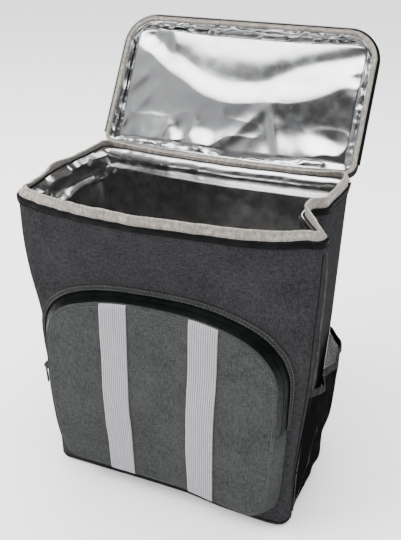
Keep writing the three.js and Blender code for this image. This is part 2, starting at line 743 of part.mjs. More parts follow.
const pocketHeightShare = (z) => (z - pocketBottom) / (pocketTop - pocketBottom);
const rayFrom = (point, direction, mesh) => {
  const hit = new THREE.Raycaster(point, direction).intersectObject(mesh)[0];
  return hit ? hit.point : null;
};

// The front of a mesh at a place across and up it, found by looking straight back at it.
const frontOf = (mesh, x, z) =>
  rayFrom(new THREE.Vector3(x, -2 * bodyDepth, z), new THREE.Vector3(0, 1, 0), mesh).y;

function buildPocket(shell) {
  const widest = bodyWidth * 0.455;
  const onWall = ([x, z]) => frontOf(shell, THREE.MathUtils.clamp(x, -widest, widest), z);
  const foot = footLine.map(([x, z]) => new THREE.Vector3(x, onWall([x, z]) - 2 * seamGap, z));
  const rim = panelLine.map(([x, z]) => {
    const depth = pocketDepth * read(pocketSections, "height", "depth", pocketHeightShare(z));
    return new THREE.Vector3(x, onWall([x, z]) - depth, z);
  });
  const count = foot.length;

  // The way out of the loop at each point, square to the outline.
  const away = foot.map((_, i) => {
    const along = foot[(i + 1) % count].clone().sub(foot[(i + count - 1) % count]).setY(0);
    return along.cross(new THREE.Vector3(0, -1, 0)).normalize();
  });

  // Bands run between stations, which count the outline's points and may lie between two of them.
  const at = (list, station) => {
    const k = Math.floor(station);
    return list[k % count].clone().lerp(list[(k + 1) % count], station - k);
  };
  const band = (from, to, stations) => {
    const side = (off) =>
      stations.map((s) =>
        [from, to].map((share) =>
          at(foot, s).lerp(at(rim, s), share).addScaledVector(at(away, s), off),
        ),
      );
    return sheet(side(0), side(-gussetThickness));
  };
  const [rightEnd, leftEnd] = [zipRightRow, zipLeftRow];
  const arch = spread(rightEnd, leftEnd, leftEnd - rightEnd);
  const slit = slitWidth / 2 / foot[rightEnd].distanceTo(rim[rightEnd]);
  add("pocket_zip_rear", band(0, 0.5 - slit, arch), "tape");
  add("pocket_zip_front", band(0.5 + slit, 1, arch), "tape");
  const low = spread(leftEnd, count + rightEnd, count + rightEnd - leftEnd);
  low[0] += gap / foot[leftEnd].distanceTo(foot[leftEnd + 1]);
  low[low.length - 1] -= gap / foot[rightEnd].distanceTo(foot[rightEnd - 1]);
  add("pocket_gusset", band(0, 1, low), "pocket");

  // The panel caps the side band and is crowned toward its middle.
  const heart = mean(rim);
  const panelRing = (share, depth) =>
    rim.map((p) => {
      const q = heart.clone().lerp(p, share);
      return q.setY(q.y - gap - depth - panelCrown * (1 - share ** 2));
    });
  const shares = [0.3, 0.6, 0.86, 1];
  const panelRings = [
    ...shares.map((share) => panelRing(share, 0)),
    ...shares.toReversed().map((share) => panelRing(share, panelThickness)),
  ];
  const panel = add("pocket_panel", stack(panelRings), "pocket");

  // The stitched fold lies on the wall outside the zip, thickest beside it.
  const welt = (surface) =>
    arch.map((s, k) => {
      const share = Math.min(k, arch.length - 1 - k) / 4;
      const width = weltWidth * (share < 1 ? 0.35 + 0.65 * share : 1);
      return [0, 0.35, 1].map((part) => {
        const p = foot[s].clone().addScaledVector(away[s], gap + part * width);
        const thick = THREE.MathUtils.lerp(weltThickness, weltEdge, part);
        return p.setY(onWall([p.x, p.z]) - 2 * seamGap - (surface ? thick : 0));
      });
    });
  add("pocket_welt", sheet(welt(true), welt(false)), "shell");

  // Elastic bands from the panel's foot to its top.
  for (const [name, middle] of [["elastic_left", bandLeft], ["elastic_right", bandRight]]) {
    const front = (x, z) => Math.min(...[-2, 0, 2].map((d) => frontOf(panel, x + d, z)));
    const side = (off) =>
      spread(middle - bandWidth / 2, middle + bandWidth / 2, 3).map((x) => {
        const low = Math.max(panelEdgeAt(x - 3, false), panelEdgeAt(x + 3, false)) + 1.5;
        const high = Math.min(panelEdgeAt(x - 3, true), panelEdgeAt(x + 3, true)) - 1.5;
        return spread(low, high, 9).map((z) => new THREE.Vector3(x, front(x, z) - off, z));
      });
    add(name, sheet(side(seamGap + bandThickness), side(seamGap)), "elastic");
  }

  // The zip's slider waits at the left end, with its pull hanging.
  const above = footLine.findLastIndex(([x, z]) => x < 0 && z >= sliderPlace);
  const [upper, lower] = [footLine[above][1], footLine[above + 1][1]];
  const station = above + (upper - sliderPlace) / (upper - lower);
  const slope = at(rim, station).sub(at(foot, station));
  const outwardHere = slope.cross(up).normalize();
  if (outwardHere.x > 0) outwardHere.negate();
  const seat = at(foot, station).lerp(at(rim, station), 0.5).addScaledVector(outwardHere, seamGap);
  const across = new THREE.Vector3().crossVectors(up, outwardHere).normalize();
  addBlock("pocket_slider", sliderWidth, sliderLength, sliderHeight, seat, across, up);
  const pullSeat = seat.clone().addScaledVector(outwardHere, sliderHeight + gap);
  pullSeat.z -= pullLength / 2;
  addBlock("pocket_pull", pullWidth, pullLength, pullThickness, pullSeat, across, up);
}

// A rounded block on its back. Its length runs along high, and its thickness grows outward from its seat.
function addBlock(name, width, length, thickness, seat, across, high) {
  const [w, l] = [width / 2, length / 2];
  const r = Math.min(w, l) * 0.45;
  const shape = new THREE.Shape();
  shape.moveTo(-w + r, -l);
  shape.lineTo(w - r, -l).quadraticCurveTo(w, -l, w, -l + r);
  shape.lineTo(w, l - r).quadraticCurveTo(w, l, w - r, l);
  shape.lineTo(-w + r, l).quadraticCurveTo(-w, l, -w, l - r);
  shape.lineTo(-w, -l + r).quadraticCurveTo(-w, -l, -w + r, -l);
  const settings = { depth: thickness, bevelEnabled: false, curveSegments: 2 };
  const geometry = new THREE.ExtrudeGeometry(shape, settings);
  const outward = new THREE.Vector3().crossVectors(across, high).normalize();
  geometry.applyMatrix4(new THREE.Matrix4().makeBasis(across, high, outward).setPosition(seat));
  return add(name, geometry, "plastic");
}

// A flat ribbon along a path. Its width lies along across, and its thickness is centred on the path.
function ribbon(path, across, width, thickness) {
  const rings = path.map((p, i) => {
    const before = path[Math.max(i - 1, 0)];
    const after = path[Math.min(i + 1, path.length - 1)];
    const normal = after.clone().sub(before).cross(across).normalize();
    const corner = (w, t) =>
      p.clone().addScaledVector(across, (w * width) / 2).addScaledVector(normal, (t * thickness) / 2);
    return [corner(-1, -1), corner(1, -1), corner(1, 1), corner(-1, 1)];
  });
  return stack(rings);
}

function buildNets(shell) {
  const reach = bodyDepth / 2 - cornerRadius;
  const shares = netAcross.map(({ along }) => along);
  const heights = netUp.map(({ height }) => height);
  for (const [side, sign] of [["right", 1], ["left", -1]]) {
    const inward = new THREE.Vector3(-sign, 0, 0);
    const wall = (y, z) => Math.abs(rayFrom(new THREE.Vector3(sign * bodyWidth, y, z), inward, shell).x);
    const hemFoot = (along) => netHeight - hemHeight - (netDrop * (along + 1)) / 2;
    const point = (along, height, z, off) => {
      const bulge = read(netUp, "height", "out", height);
      const ripple = read(netAcross, "along", "ripple", along) * height;
      const out = read(netAcross, "along", "out", along) + ripple;
      const x = wall(along * reach, z) + 2 * seamGap + netBulge * out * bulge + off;
      return new THREE.Vector3(sign * x, along * reach, z);
    };
    const net = (off) =>
      shares.map((along) => {
        const z = (height) => THREE.MathUtils.lerp(netFoot, hemFoot(along) - gap, height);
        return heights.map((height) => point(along, height, z(height), off));
      });
    add(`net_${side}`, sheet(net(netThickness), net(0)), "net");
    const hem = (off) =>
      shares.map((along) => [0, 1].map((part) => point(along, 1, hemFoot(along) + part * hemHeight, off)));
    add(`net_${side}_hem`, sheet(hem(hemThickness), hem(0)), "tape");
  }
}

function buildStraps() {
  const back = bodyDepth / 2;
  const half = [[1, 0], [0.88, 0.72], [0.5, 1], [-0.5, 1], [-0.88, 0.72]];
  const section = [...half, ...half.map(([a, b]) => [-a, -b])];
  for (const [side, sign] of [["right", 1], ["left", -1]]) {
    const line = strapLine.map(({ height, out, across }) => {
      const [x, z] = [sign * across * bodyWidth, height * strapTop];
      return new THREE.Vector3(x, backAt(x, z) + out * bodyDepth, z);
    });
    const outRef = new THREE.Vector3(0, 1, 0);
    const rings = strapLine.map(({ width, thick }, i) => {
      const [before, after] = [line[Math.max(i - 1, 0)], line[Math.min(i + 1, line.length - 1)]];
      const tangent = after.clone().sub(before).normalize();
      const wide = new THREE.Vector3().crossVectors(tangent, outRef).normalize();
      const high = new THREE.Vector3().crossVectors(wide, tangent).normalize();
      const [w, t] = [(width * strapWidth) / 2, (thick * strapThickness) / 2];
      return section.map(([a, b]) =>
        line[i].clone().addScaledVector(wide, a * w).addScaledVector(high, b * t),
      );
    });
    add(`strap_${side}`, stack(rings), "strap");

    // The ladder lock hangs at the strap's end, and the lower webbing turns back round its last bar.
    const down = line.at(-1).clone().sub(line.at(-2)).normalize();
    const wide = new THREE.Vector3().crossVectors(down, outRef).normalize();
    const out = new THREE.Vector3().crossVectors(wide, down).normalize();
    const lockLength = 3 * lockBar + 2 * lockSlot;
    const lockMiddle = line.at(-1).clone().addScaledVector(down, lockLength / 2 + gap);
    const shape = new THREE.Shape();
    const [w, l] = [lockWidth / 2, lockLength / 2];
    shape.moveTo(-w, -l).lineTo(w, -l).lineTo(w, l).lineTo(-w, l);
    for (const slot of [-1, 1]) {
      const middle = (slot * (lockSlot + lockBar)) / 2;
      const [a, b] = [webWidth / 2 + 1, lockSlot / 2];
      const hole = new THREE.Path();
      hole.moveTo(-a, middle - b).lineTo(-a, middle + b).lineTo(a, middle + b).lineTo(a, middle - b);
      shape.holes.push(hole);
    }
    const lock = new THREE.ExtrudeGeometry(shape, { depth: lockThickness, bevelEnabled: false });
    lock.translate(0, 0, -lockThickness / 2);
    const lockFrame = new THREE.Matrix4().makeBasis(wide, down, wide.clone().cross(down));
    lock.applyMatrix4(lockFrame.setPosition(lockMiddle));
    add(`lock_${side}`, lock, "plastic");

    // Places on the webbing, down from the lock's middle and out from it.
    const off = lockThickness / 2 + seamGap + webThickness / 2;
    const bar = lockLength / 2 - lockBar;
    const on = (d, n) => lockMiddle.clone().addScaledVector(down, d).addScaledVector(out, n);
    const anchorOut = back * 1.01 + seamGap + webThickness;
    const anchor = new THREE.Vector3(sign * anchorAcross, anchorOut, anchorHeight);
    const rearLeg = on(bar + 3 * lockBar, -off);
    const webEnd = anchor.clone().add(new THREE.Vector3(sign * 3, 0, -13));
    const turn = [on(bar + 1, -off), on(bar - 0.7, -off * 0.9), on(bar - 2.6, -off * 0.48), on(bar - 3, 0)];
    const turnBack = [on(bar - 2.6, off * 0.48), on(bar - 0.7, off * 0.9), on(bar + 1, off)];
    const tailEnd = on(bar + tailLength, off + 14);
    const tail = [on(bar + 2 * lockBar, off + 1), on(bar + 0.5 * tailLength, off + 4), tailEnd];
    const middle = rearLeg.clone().lerp(anchor, 0.5);
    const path = [webEnd, anchor, middle, rearLeg, ...turn, ...turnBack, ...tail];
    add(`web_${side}`, ribbon(path, wide, webWidth, webThickness), "strap");
  }

  // The carrying loop stands off the back, under the lid.
  const arc = [-1, -0.82, -0.66, -0.36, 0, 0.36, 0.66, 0.82, 1].map((share) => {
    const out = Math.max(0, 1 - (Math.abs(share) / 0.82) ** 3);
    const x = (share * loopLength) / 2;
    const wall = Math.max(...[-0.5, 0, 0.5].map((part) => backAt(x, loopHeight + part * webWidth)));
    return new THREE.Vector3(x, wall + seamGap + webThickness / 2 + loopStandOff * out, loopHeight);
  });
  add("carry_loop", ribbon(arc, up, webWidth, webThickness), "strap");
}

// The slider of the mouth's zip waits at the rear end of its left half.
function buildMouthSlider() {
  const along = 0.82;
  const y = along * (bodyDepth / 2 - cornerRadius);
  const middle = (tapeFoot + teethFoot) / 2;
  const x = wallAt.left(along, middle) - 3 * seamGap - teethSize;
  const seat = new THREE.Vector3(x, y, middle);
  const backward = new THREE.Vector3(0, 1, 0);
  addBlock("mouth_slider", sliderWidth, sliderLength, sliderHeight, seat, up, backward);
}

export default group;
const shell = buildBody();
buildMouthTrim();
buildLid();
buildPocket(shell);
buildNets(shell);
buildStraps();
buildMouthSlider();
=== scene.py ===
import bpy
import bmesh
import math
import numpy as np
from mathutils import Matrix, Vector
from mathutils.bvhtree import BVHTree


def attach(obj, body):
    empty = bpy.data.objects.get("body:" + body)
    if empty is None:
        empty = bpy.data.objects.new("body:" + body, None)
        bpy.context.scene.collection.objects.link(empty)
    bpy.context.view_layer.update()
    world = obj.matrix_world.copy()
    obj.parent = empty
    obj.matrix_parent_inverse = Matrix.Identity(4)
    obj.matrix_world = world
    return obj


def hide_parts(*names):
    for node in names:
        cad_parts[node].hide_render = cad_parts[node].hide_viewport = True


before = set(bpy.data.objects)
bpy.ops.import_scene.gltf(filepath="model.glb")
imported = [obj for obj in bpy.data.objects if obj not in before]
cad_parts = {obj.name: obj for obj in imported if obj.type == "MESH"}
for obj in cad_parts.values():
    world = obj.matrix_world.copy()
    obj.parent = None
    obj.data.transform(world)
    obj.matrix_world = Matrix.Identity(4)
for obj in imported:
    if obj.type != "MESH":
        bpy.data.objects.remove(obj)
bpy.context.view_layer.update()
print("frame loaded")

# Sizes are in millimetres here and turn into metres when a piece is made.
up = np.array([0.0, 0.0, 1.0])


# Camera: where the photograph was taken from
photoView = {
    "azimuth": 19.2425, "elevation": 28.6865, "roll": 1.2324,
    "distance": 0.725675, "target": (0.0079864, 0.0, 0.254478), "lens": 43.16,
}


def makeCamera():
    a, e, r = (math.radians(photoView[k]) for k in ("azimuth", "elevation", "roll"))
    back = Vector((math.sin(a) * math.cos(e), -math.cos(a) * math.cos(e), math.sin(e)))
    right = (-back).cross(Vector((0, 0, 1))).normalized()
    above = right.cross(-back)
    across = right * math.cos(r) + above * math.sin(r)
    high = above * math.cos(r) - right * math.sin(r)
    camera = bpy.data.objects.new("camera", bpy.data.cameras.new("camera"))
    bpy.context.scene.collection.objects.link(camera)
    place = Matrix((across, high, back)).transposed().to_4x4()
    place.translation = Vector(photoView["target"]) + back * photoView["distance"]
    camera.matrix_world = place
    camera.data.lens = photoView["lens"]
    camera.data.sensor_width = 36
    camera.data.clip_start = 0.02
    bpy.context.scene.camera = camera


# Studio: a pale floor, soft lamps and a plain surround
studio = {
    "floor": (0.95, 0.95, 0.955),
    # place, size, power and colour
    "lamps": {
        "keyLamp": ((-1.7, -0.9, 1.9), (1.4, 1.2), 100, (1, 0.99, 0.97)),
        "fillLamp": ((1.7, -1.3, 1.3), (1.6, 1.6), 3, (0.96, 0.98, 1)),
        "topLamp": ((0.1, 0.5, 2.3), (1.8, 1.8), 58, (1, 1, 1)),
    },
    "aim": (0, 0, 0.25),
    "surround": 2.0,
    # how bright the surround looks in the foil, by height, for its left and right halves
    "mirrorLeft": [
        (0.0, 0.5), (0.2, 0.15), (0.5, 0.34), (0.68, 0.5), (0.78, 0.55), (0.83, 1.2), (0.88, 4.0), (1.0, 7.0),
    ],
    "mirrorRight": [
        (0.0, 0.4), (0.2, 0.08), (0.5, 0.05), (0.7, 0.06), (0.78, 0.11), (0.84, 0.7), (0.89, 3.6), (1.0, 7.0),
    ],
    "mirrorTint": (0.99, 1.0, 1.02),
    "blendFrom": -0.42, "blendTo": -0.08,  # where the left half turns into the right one
}


def addNode(tree, kind, values=None, **settings):
    node = tree.nodes.new(kind)
    for key, value in settings.items():
        setattr(node, key, value)
    for key, value in (values or {}).items():
        if isinstance(value, bpy.types.NodeSocket):
            tree.links.new(value, node.inputs[key])
        else:
            node.inputs[key].default_value = value
    return node


def blendOf(tree, share, first, second):
    return addNode(tree, "ShaderNodeMix", {0: share, 6: first, 7: second}, data_type="RGBA").outputs[2]


def makeStudio():
    bpy.ops.mesh.primitive_plane_add(size=30)
    floor = bpy.context.object
    floor.name = "studioFloor"
    material = bpy.data.materials.new("studioFloor")
    material.use_nodes = True
    shader = material.node_tree.nodes["Principled BSDF"]
    shader.inputs["Base Color"].default_value = (*studio["floor"], 1)
    shader.inputs["Roughness"].default_value = 0.85
    shader.inputs["Specular IOR Level"].default_value = 0.15
    floor.data.materials.append(material)
    for name, (place, size, power, colour) in studio["lamps"].items():
        light = bpy.data.lights.new(name, "AREA")
        light.shape = "RECTANGLE"
        light.size, light.size_y = size
        light.energy, light.color = power, colour
        thing = bpy.data.objects.new(name, light)
        thing.location = place
        thing.rotation_euler = (Vector(studio["aim"]) - thing.location).to_track_quat("-Z", "Y").to_euler()
        thing.visible_glossy = False  # the foil mirrors the surround alone
        bpy.context.scene.collection.objects.link(thing)
    # what shiny pieces mirror: light from above, darker toward the horizon and on the right
    world = bpy.data.worlds.new("surround")
    bpy.context.scene.world = world
    world.use_nodes = True
    tree = world.node_tree
    background = tree.nodes["Background"]
    where = addNode(tree, "ShaderNodeTexCoord")
    split = addNode(tree, "ShaderNodeSeparateXYZ", {0: where.outputs["Generated"]})
    ramps = []
    for stops in (studio["mirrorLeft"], studio["mirrorRight"]):
        ramp = addNode(tree, "ShaderNodeValToRGB", {0: split.outputs[2]})
        while len(ramp.color_ramp.elements) < len(stops):
            ramp.color_ramp.elements.new(0.5)
        for element, (at, value) in zip(ramp.color_ramp.elements, stops):
            element.position = at
            element.color = (*(value * tint for tint in studio["mirrorTint"]), 1)
        ramps.append(ramp.outputs[0])
    ends = {0: split.outputs[0], 1: studio["blendFrom"], 2: studio["blendTo"], 3: 0.0, 4: 1.0}
    side = addNode(tree, "ShaderNodeMapRange", ends, interpolation_type="SMOOTHSTEP")
    mirrored = blendOf(tree, side.outputs[0], *ramps)
    glossy = addNode(tree, "ShaderNodeLightPath").outputs["Is Glossy Ray"]
    mixed = blendOf(tree, glossy, (*[studio["surround"]] * 3, 1), mirrored)
    tree.links.new(mixed, background.inputs[0])
    background.inputs[1].default_value = 1.0


makeCamera()
makeStudio()
print("camera and studio made")


# Small tools for tables, noise and meshes
def readTable(places, values, at):
    xs, ys = np.asarray(places, float), np.asarray(values, float)
    at = np.clip(np.asarray(at, float), xs[0], xs[-1])
    k = np.clip(np.searchsorted(xs, at, side="left") - 1, 0, len(xs) - 2)
    index = np.arange(len(xs))
    before, after = np.maximum(index - 1, 0), np.minimum(index + 1, len(xs) - 1)
    slope = (ys[after] - ys[before]) / (xs[after] - xs[before])
    span = xs[k + 1] - xs[k]
    t = (at - xs[k]) / span
    lift = slope[k] * span * t * (1 - t) ** 2 + slope[k + 1] * span * t * t * (t - 1)
    return ys[k] * (1 + 2 * t) * (1 - t) ** 2 + ys[k + 1] * t * t * (3 - 2 * t) + lift


noiseSide = 48  # the noise repeats after this many cells
noiseTable = np.random.RandomState(7).rand(noiseSide, noiseSide, noiseSide)


def softNoise(points, size, seed=0.0):
    q = np.asarray(points, float) / size + 11.3 + seed * 7.77
    i = np.floor(q).astype(int)
    f = q - i
    f = f * f * (3 - 2 * f)
    total = np.zeros(q.shape[:-1])
    for step in np.ndindex(2, 2, 2):
        x, y, z = np.moveaxis(i + step, -1, 0) % noiseSide
        total += np.prod(np.abs(1 - np.array(step) - f), axis=-1) * noiseTable[x, y, z]
    return total * 2 - 1


def smoothStep(low, high, value):
    t = np.clip((value - low) / (high - low), 0, 1)
    return t * t * (3 - 2 * t)


def mix(a, b, share):
    return a + (b - a) * share


def unit(v):
    return v / np.maximum(np.linalg.norm(v, axis=-1, keepdims=True), 1e-9)


def lengthsAlong(points, axis=0):
    # how far each point lies from the first one along its line
    steps = np.linalg.norm(np.diff(points, axis=axis), axis=-1)
    return np.concatenate([np.zeros_like(steps.take([0], axis=axis)), np.cumsum(steps, axis=axis)], axis=axis)


def readLine(at, lengths, line):
    return np.stack([np.interp(at, lengths, line[:, k]) for k in range(3)], axis=-1)


def gridPart(points, loop=False):
    # a surface of rows and columns of points, with metric UVs
    rows, columns = points.shape[:2]
    wide = np.concatenate([points, points[:, :1]], axis=1) if loop else points
    u, v = lengthsAlong(wide, 1), lengthsAlong(wide, 0)
    u = np.broadcast_to(u.mean(axis=0), u.shape)
    steps = columns if loop else columns - 1
    r, c = np.meshgrid(np.arange(rows - 1), np.arange(steps), indexing="ij")
    n = (c + 1) % columns
    quads = [r * columns + c, r * columns + n, (r + 1) * columns + n, (r + 1) * columns + c]
    corner = [(r, c), (r, c + 1), (r + 1, c + 1), (r + 1, c)]
    uv = np.stack([np.stack([u[a, b], v[a, b]], axis=-1) for a, b in corner], axis=-2)
    return points.reshape(-1, 3), np.stack(quads, axis=-1).reshape(-1, 4), uv.reshape(-1, 4, 2) * 0.001


def fanPart(ring, last=False):
    # a cap from the middle of a ring to the ring
    rows = np.stack([np.repeat(ring.mean(axis=0)[None], len(ring), axis=0), ring])
    return gridPart(rows[::-1] if last else rows, True)


def closedParts(rings):
    rings = np.asarray(rings)
    return [fanPart(rings[0]), gridPart(rings, True), fanPart(rings[-1], True)]


def sheetParts(outer, inner, loop=False):
    # a closed sheet between two surfaces of the same rows and columns
    parts = [gridPart(outer, loop), gridPart(inner[::-1], loop)]
    parts.append(gridPart(np.stack([inner[0], outer[0]]), loop))
    parts.append(gridPart(np.stack([outer[-1], inner[-1]]), loop))
    if not loop:
        parts.append(gridPart(np.stack([outer[:, 0], inner[:, 0]])))
        parts.append(gridPart(np.stack([inner[:, -1], outer[:, -1]])))
    return parts


def makePiece(name, parts, material, replaced=(), sharp=50, close=True):
    points, quads, uvs, start = [], [], [], 0
    for somePoints, someQuads, someUv in parts:
        points.append(somePoints)
        quads.append(someQuads + start)
        uvs.append(someUv)
        start += len(somePoints)
    mesh = bpy.data.meshes.new(name)
    mesh.from_pydata((np.concatenate(points) * 0.001).tolist(), [], np.concatenate(quads).tolist())
    layer = mesh.uv_layers.new(name="metres")
    layer.data.foreach_set("uv", np.concatenate(uvs).reshape(-1).astype(np.float32))
    work = bmesh.new()
    work.from_mesh(mesh)
    bmesh.ops.remove_doubles(work, verts=work.verts, dist=2e-6)
    bmesh.ops.dissolve_degenerate(work, edges=work.edges, dist=1e-7)
    if close:
        bmesh.ops.recalc_face_normals(work, faces=work.faces)
    work.to_mesh(mesh)
    work.free()
    mesh.polygons.foreach_set("use_smooth", [True] * len(mesh.polygons))
    mesh.set_sharp_from_angle(angle=math.radians(sharp))
    thing = bpy.data.objects.new(name, mesh)
    bpy.context.scene.collection.objects.link(thing)
    mesh.materials.append(material)
    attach(thing, "root")
    if replaced:
        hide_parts(*replaced)
    return thing


def smoothLine(points, steps, loop=False):
    # a finer line through points
    points = np.asarray(points, float)
    count = len(points)
    out = []
    for k in range(count if loop else count - 1):
        near = [(k + d) % count if loop else min(max(k + d, 0), count - 1) for d in (-1, 0, 1, 2)]
        p = points[near]
        for t in np.arange(steps) / steps:
            a = 2 * p[1] + (p[2] - p[0]) * t
            b = (2 * p[0] - 5 * p[1] + 4 * p[2] - p[3]) * t * t
            out.append(0.5 * (a + b + (3 * p[1] - p[0] - 3 * p[2] + p[3]) * t ** 3))
    if not loop:
        out.append(points[-1])
    return np.array(out)


def tangents(line, loop=False):
    if loop:
        return unit(np.roll(line, -1, axis=0) - np.roll(line, 1, axis=0))
    return unit(np.gradient(line, axis=0))


def tubeParts(line, radius, sides=6, loop=False, flat=1.0, lean=None):
    # a round or flattened tube along a line
    along = tangents(line, loop)
    ref = np.broadcast_to(up if lean is None else lean, line.shape)
    across = unit(np.cross(along, ref))
    high = unit(np.cross(across, along))
    angle = np.arange(sides) / sides * 2 * math.pi
    radius = np.broadcast_to(np.asarray(radius, float), (len(line),))[:, None, None]
    c, s = np.cos(angle)[None, :, None], np.sin(angle)[None, :, None]
    points = line[:, None] + (c * across[:, None] + s * high[:, None] * flat) * radius
    if loop:
        return [gridPart(np.concatenate([points, points[:1]]), True)]
    first, last = (np.repeat(line[end, None], sides, axis=1) for end in (slice(1), slice(-1, None)))
    return [gridPart(np.concatenate([first, points, last]), True)]


# one stitch: shares along it, rise over the cloth and thickness, in threads
stitchShape = np.array([(0, -0.8, 0.6), (0.12, 0.5, 1), (0.5, 0.85, 1), (0.88, 0.5, 1), (1, -0.8, 0.6)]).T


def stitchParts(line, normal, length=2.6, space=1.2, thread=0.4, sides=5):
    # a row of short threads that lie on a surface
    normal = np.broadcast_to(normal, line.shape)
    steps = lengthsAlong(line)
    share, rise, thick = stitchShape
    parts = []
    for start in np.arange(space, steps[-1] - length, length + space):
        at = start + share * length
        out = readLine(at, steps, normal)
        path = readLine(at, steps, line) + out * (thread * rise)[:, None]
        parts += tubeParts(path, thread * thick, sides, lean=out[2])
    return parts


# Body: the shape of its walls, as in the solids
body = {
    "width": 300.0, "depth": 174.0, "height": 354.0, "corner": 12.0, "base": 5.0,
    "wall": 5.0, "liner": 1.0, "gap": 0.3, "seam": 0.5,
    "tape": 7.0, "tapeThick": 1.2, "teeth": 2.2, "bindingHeight": 14.0, "bindingThick": 2.4,
    "sections": {
        "height": (0.0, 0.3, 0.5, 0.62, 0.74, 0.86, 1.0),
        "left": (0.478, 0.478, 0.488, 0.503, 0.523, 0.525, 0.508),
        "right": (0.502, 0.5, 0.502, 0.502, 0.501, 0.5, 0.5),
        "front": (0.505, 0.5, 0.5, 0.5, 0.5, 0.5, 0.5),
        "back": (0.5, 0.504, 0.504, 0.503, 0.502, 0.5, 0.5),
    },
    "mouth": {
        "front": (
            (-1, -0.75, -0.45, -0.1, 0.3, 0.65, 0.88, 1),
            (0.082, 0.136, 0.167, 0.175, 0.145, 0.12, 0.065, 0.01),
        ),
        "right": (
            (-1, -0.85, -0.6, -0.4, -0.22, -0.1, 0.05, 0.35, 0.65, 1),
            (-0.035, -0.075, -0.12, -0.138, -0.125, -0.06, -0.043, -0.02, 0.0, 0.0),
        ),
        "left": ((-1, -0.7, -0.2, 0.3, 0.7, 1), (0.03, 0.036, 0.055, 0.03, 0.01, 0.0)),
        "back": ((-1, -0.5, 0.1, 0.6, 1), (0.0, -0.035, -0.06, -0.045, 0.0)),
    },
    "mouthFade": {
        "height": (0.0, 0.3, 0.55, 0.75, 0.87, 1.0),
        "front": (0.0, 0.05, 0.14, 0.33, 0.58, 1.0),
        "right": (0.0, 0.06, 0.16, 0.3, 0.5, 1.0),
        "left": (0.0, 0.0, 0.12, 0.5, 0.8, 1.0),
        "back": (0.0, 0.0, 0.05, 0.2, 0.5, 1.0),
    },
    "foot": {
        "front": ((-1, 0.1, 0.5, 0.9, 1), (0.0, 0.005, 0.04, 0.055, 0.05)),
        "right": ((-1, -0.6, 1), (0.03, 0.01, 0.0)),
    },
    "footFade": ((0.0, 0.06, 0.2, 0.3), (1.0, 0.8, 0.1, 0.0)),
    "ridgeAcross": ((-1, -0.8, -0.55, -0.3), (0.0, 0.032, 0.004, 0.0)),
    "ridgeUp": ((0.0, 0.3, 0.6, 0.85, 1.0), (0.1, 0.7, 1.0, 0.9, 0.0)),
    "leanAcross": ((-1, -0.75, -0.4), (1.0, 0.7, 0.0)),  # the front right edge leans outward as it rises
    "leanUp": ((0.0, 0.25, 0.5, 0.75, 1.0), (-0.03, 0.0, 0.026, 0.038, 0.052)),
    "ruck": 0.9,  # soft unevenness of the cloth
    "pull": 1.0,  # short upright rucks below the zip
    "stitchPull": 0.5, "stitchPullHeight": 2.4,  # the zip's stitching pulls the cloth in
}
# the bound seam's lean inward in degrees and its rise as a share of its height, along each side
bindingShape = {
    "front": ((-1, -0.7, -0.3, 0.4, 0.75, 1), (42, 24, 10, 10, 24, 36), (0.75, 0.7, 0.72, 0.7, 0.7, 0.65)),
    "right": ((-1, -0.7, 0, 0.7, 1), (36, 14, 8, 16, 30), (0.65, 0.75, 0.75, 0.75, 0.65)),
    "left": ((-1, -0.6, -0.35, 0.1, 1), (42, 44, 30, 46, 30), (0.75, 0.75, 0.95, 0.8, 0.65)),
    "back": ((-1, -0.8, 0, 0.8, 1), (30, 14, 8, 14, 30), (0.6, 0.35, 0.3, 0.35, 0.6)),
}
sideNames = ("back", "left", "front", "right")


def roundPlaces(steps, cornerSteps):
    # places round a rectangle with rounded corners, anticlockwise from the rear right corner
    found = []
    turn = {"back": (0, 1), "left": (-1, 0), "front": (0, -1), "right": (1, 0)}

    def straight(side, shares, x, y):
        for s in shares:
            found.append((side, s, s if x is None else x, s if y is None else y, *turn[side], side, s, 0.0))

    def corner(side, other, x, y, start):
        along = {"left": y, "right": y, "front": x, "back": x}
        for k in range(1, cornerSteps):
            angle = math.radians(start + 90 * k / cornerSteps)
            turned = math.cos(angle), math.sin(angle)
            found.append((side, along[side], x, y, *turned, other, along[other], k / cornerSteps))

    straight("back", np.linspace(1, -1, steps["back"]), None, 1)
    corner("back", "left", -1, 1, 90)
    straight("left", np.linspace(1, -1, steps["left"]), -1, None)
    corner("left", "front", -1, -1, 180)
    straight("front", np.linspace(-1, 1, steps["front"]), None, -1)
    corner("front", "right", 1, -1, 270)
    straight("right", np.linspace(-1, 1, steps["right"]), 1, None)
    corner("right", "back", 1, 1, 0)
    keys = ("side", "along", "x", "y", "turnX", "turnY", "next", "nextAlong", "share")
    return {key: np.array([row[i] for row in found]) for i, key in enumerate(keys)}


def swell(side, along, height):
    fade = body["mouthFade"]
    total = readTable(*body["mouth"][side], along) * readTable(fade["height"], fade[side], height)
    if side in body["foot"]:
        total = total + readTable(*body["foot"][side], along) * readTable(*body["footFade"], height)
    if side == "right":
        total = total + readTable(*body["ridgeAcross"], along) * readTable(*body["ridgeUp"], height)
        total = total + readTable(*body["leanAcross"], along) * readTable(*body["leanUp"], height)
    return body["depth"] * total


def eachSide(places):
    # each side with the places on it, how far along they lie and how much they belong to it
    share = places["share"]
    for key, alongKey, weight in (("side", "along", 1 - share), ("next", "nextAlong", share)):
        for side in sideNames:
            here = places[key] == side
            yield side, here, places[alongKey][here], weight[here]


def swellAt(places, height):
    total = np.zeros(np.broadcast_shapes(places["along"].shape, np.shape(height)))
    for side, here, along, weight in eachSide(places):
        if here.any():
            total[..., here] += swell(side, along, height) * weight
    return total


def halfSizes(height):
    shares = body["sections"]
    size = {"left": body["width"], "right": body["width"], "front": body["depth"], "back": body["depth"]}
    return {side: readTable(shares["height"], shares[side], height) * size[side] for side in size}


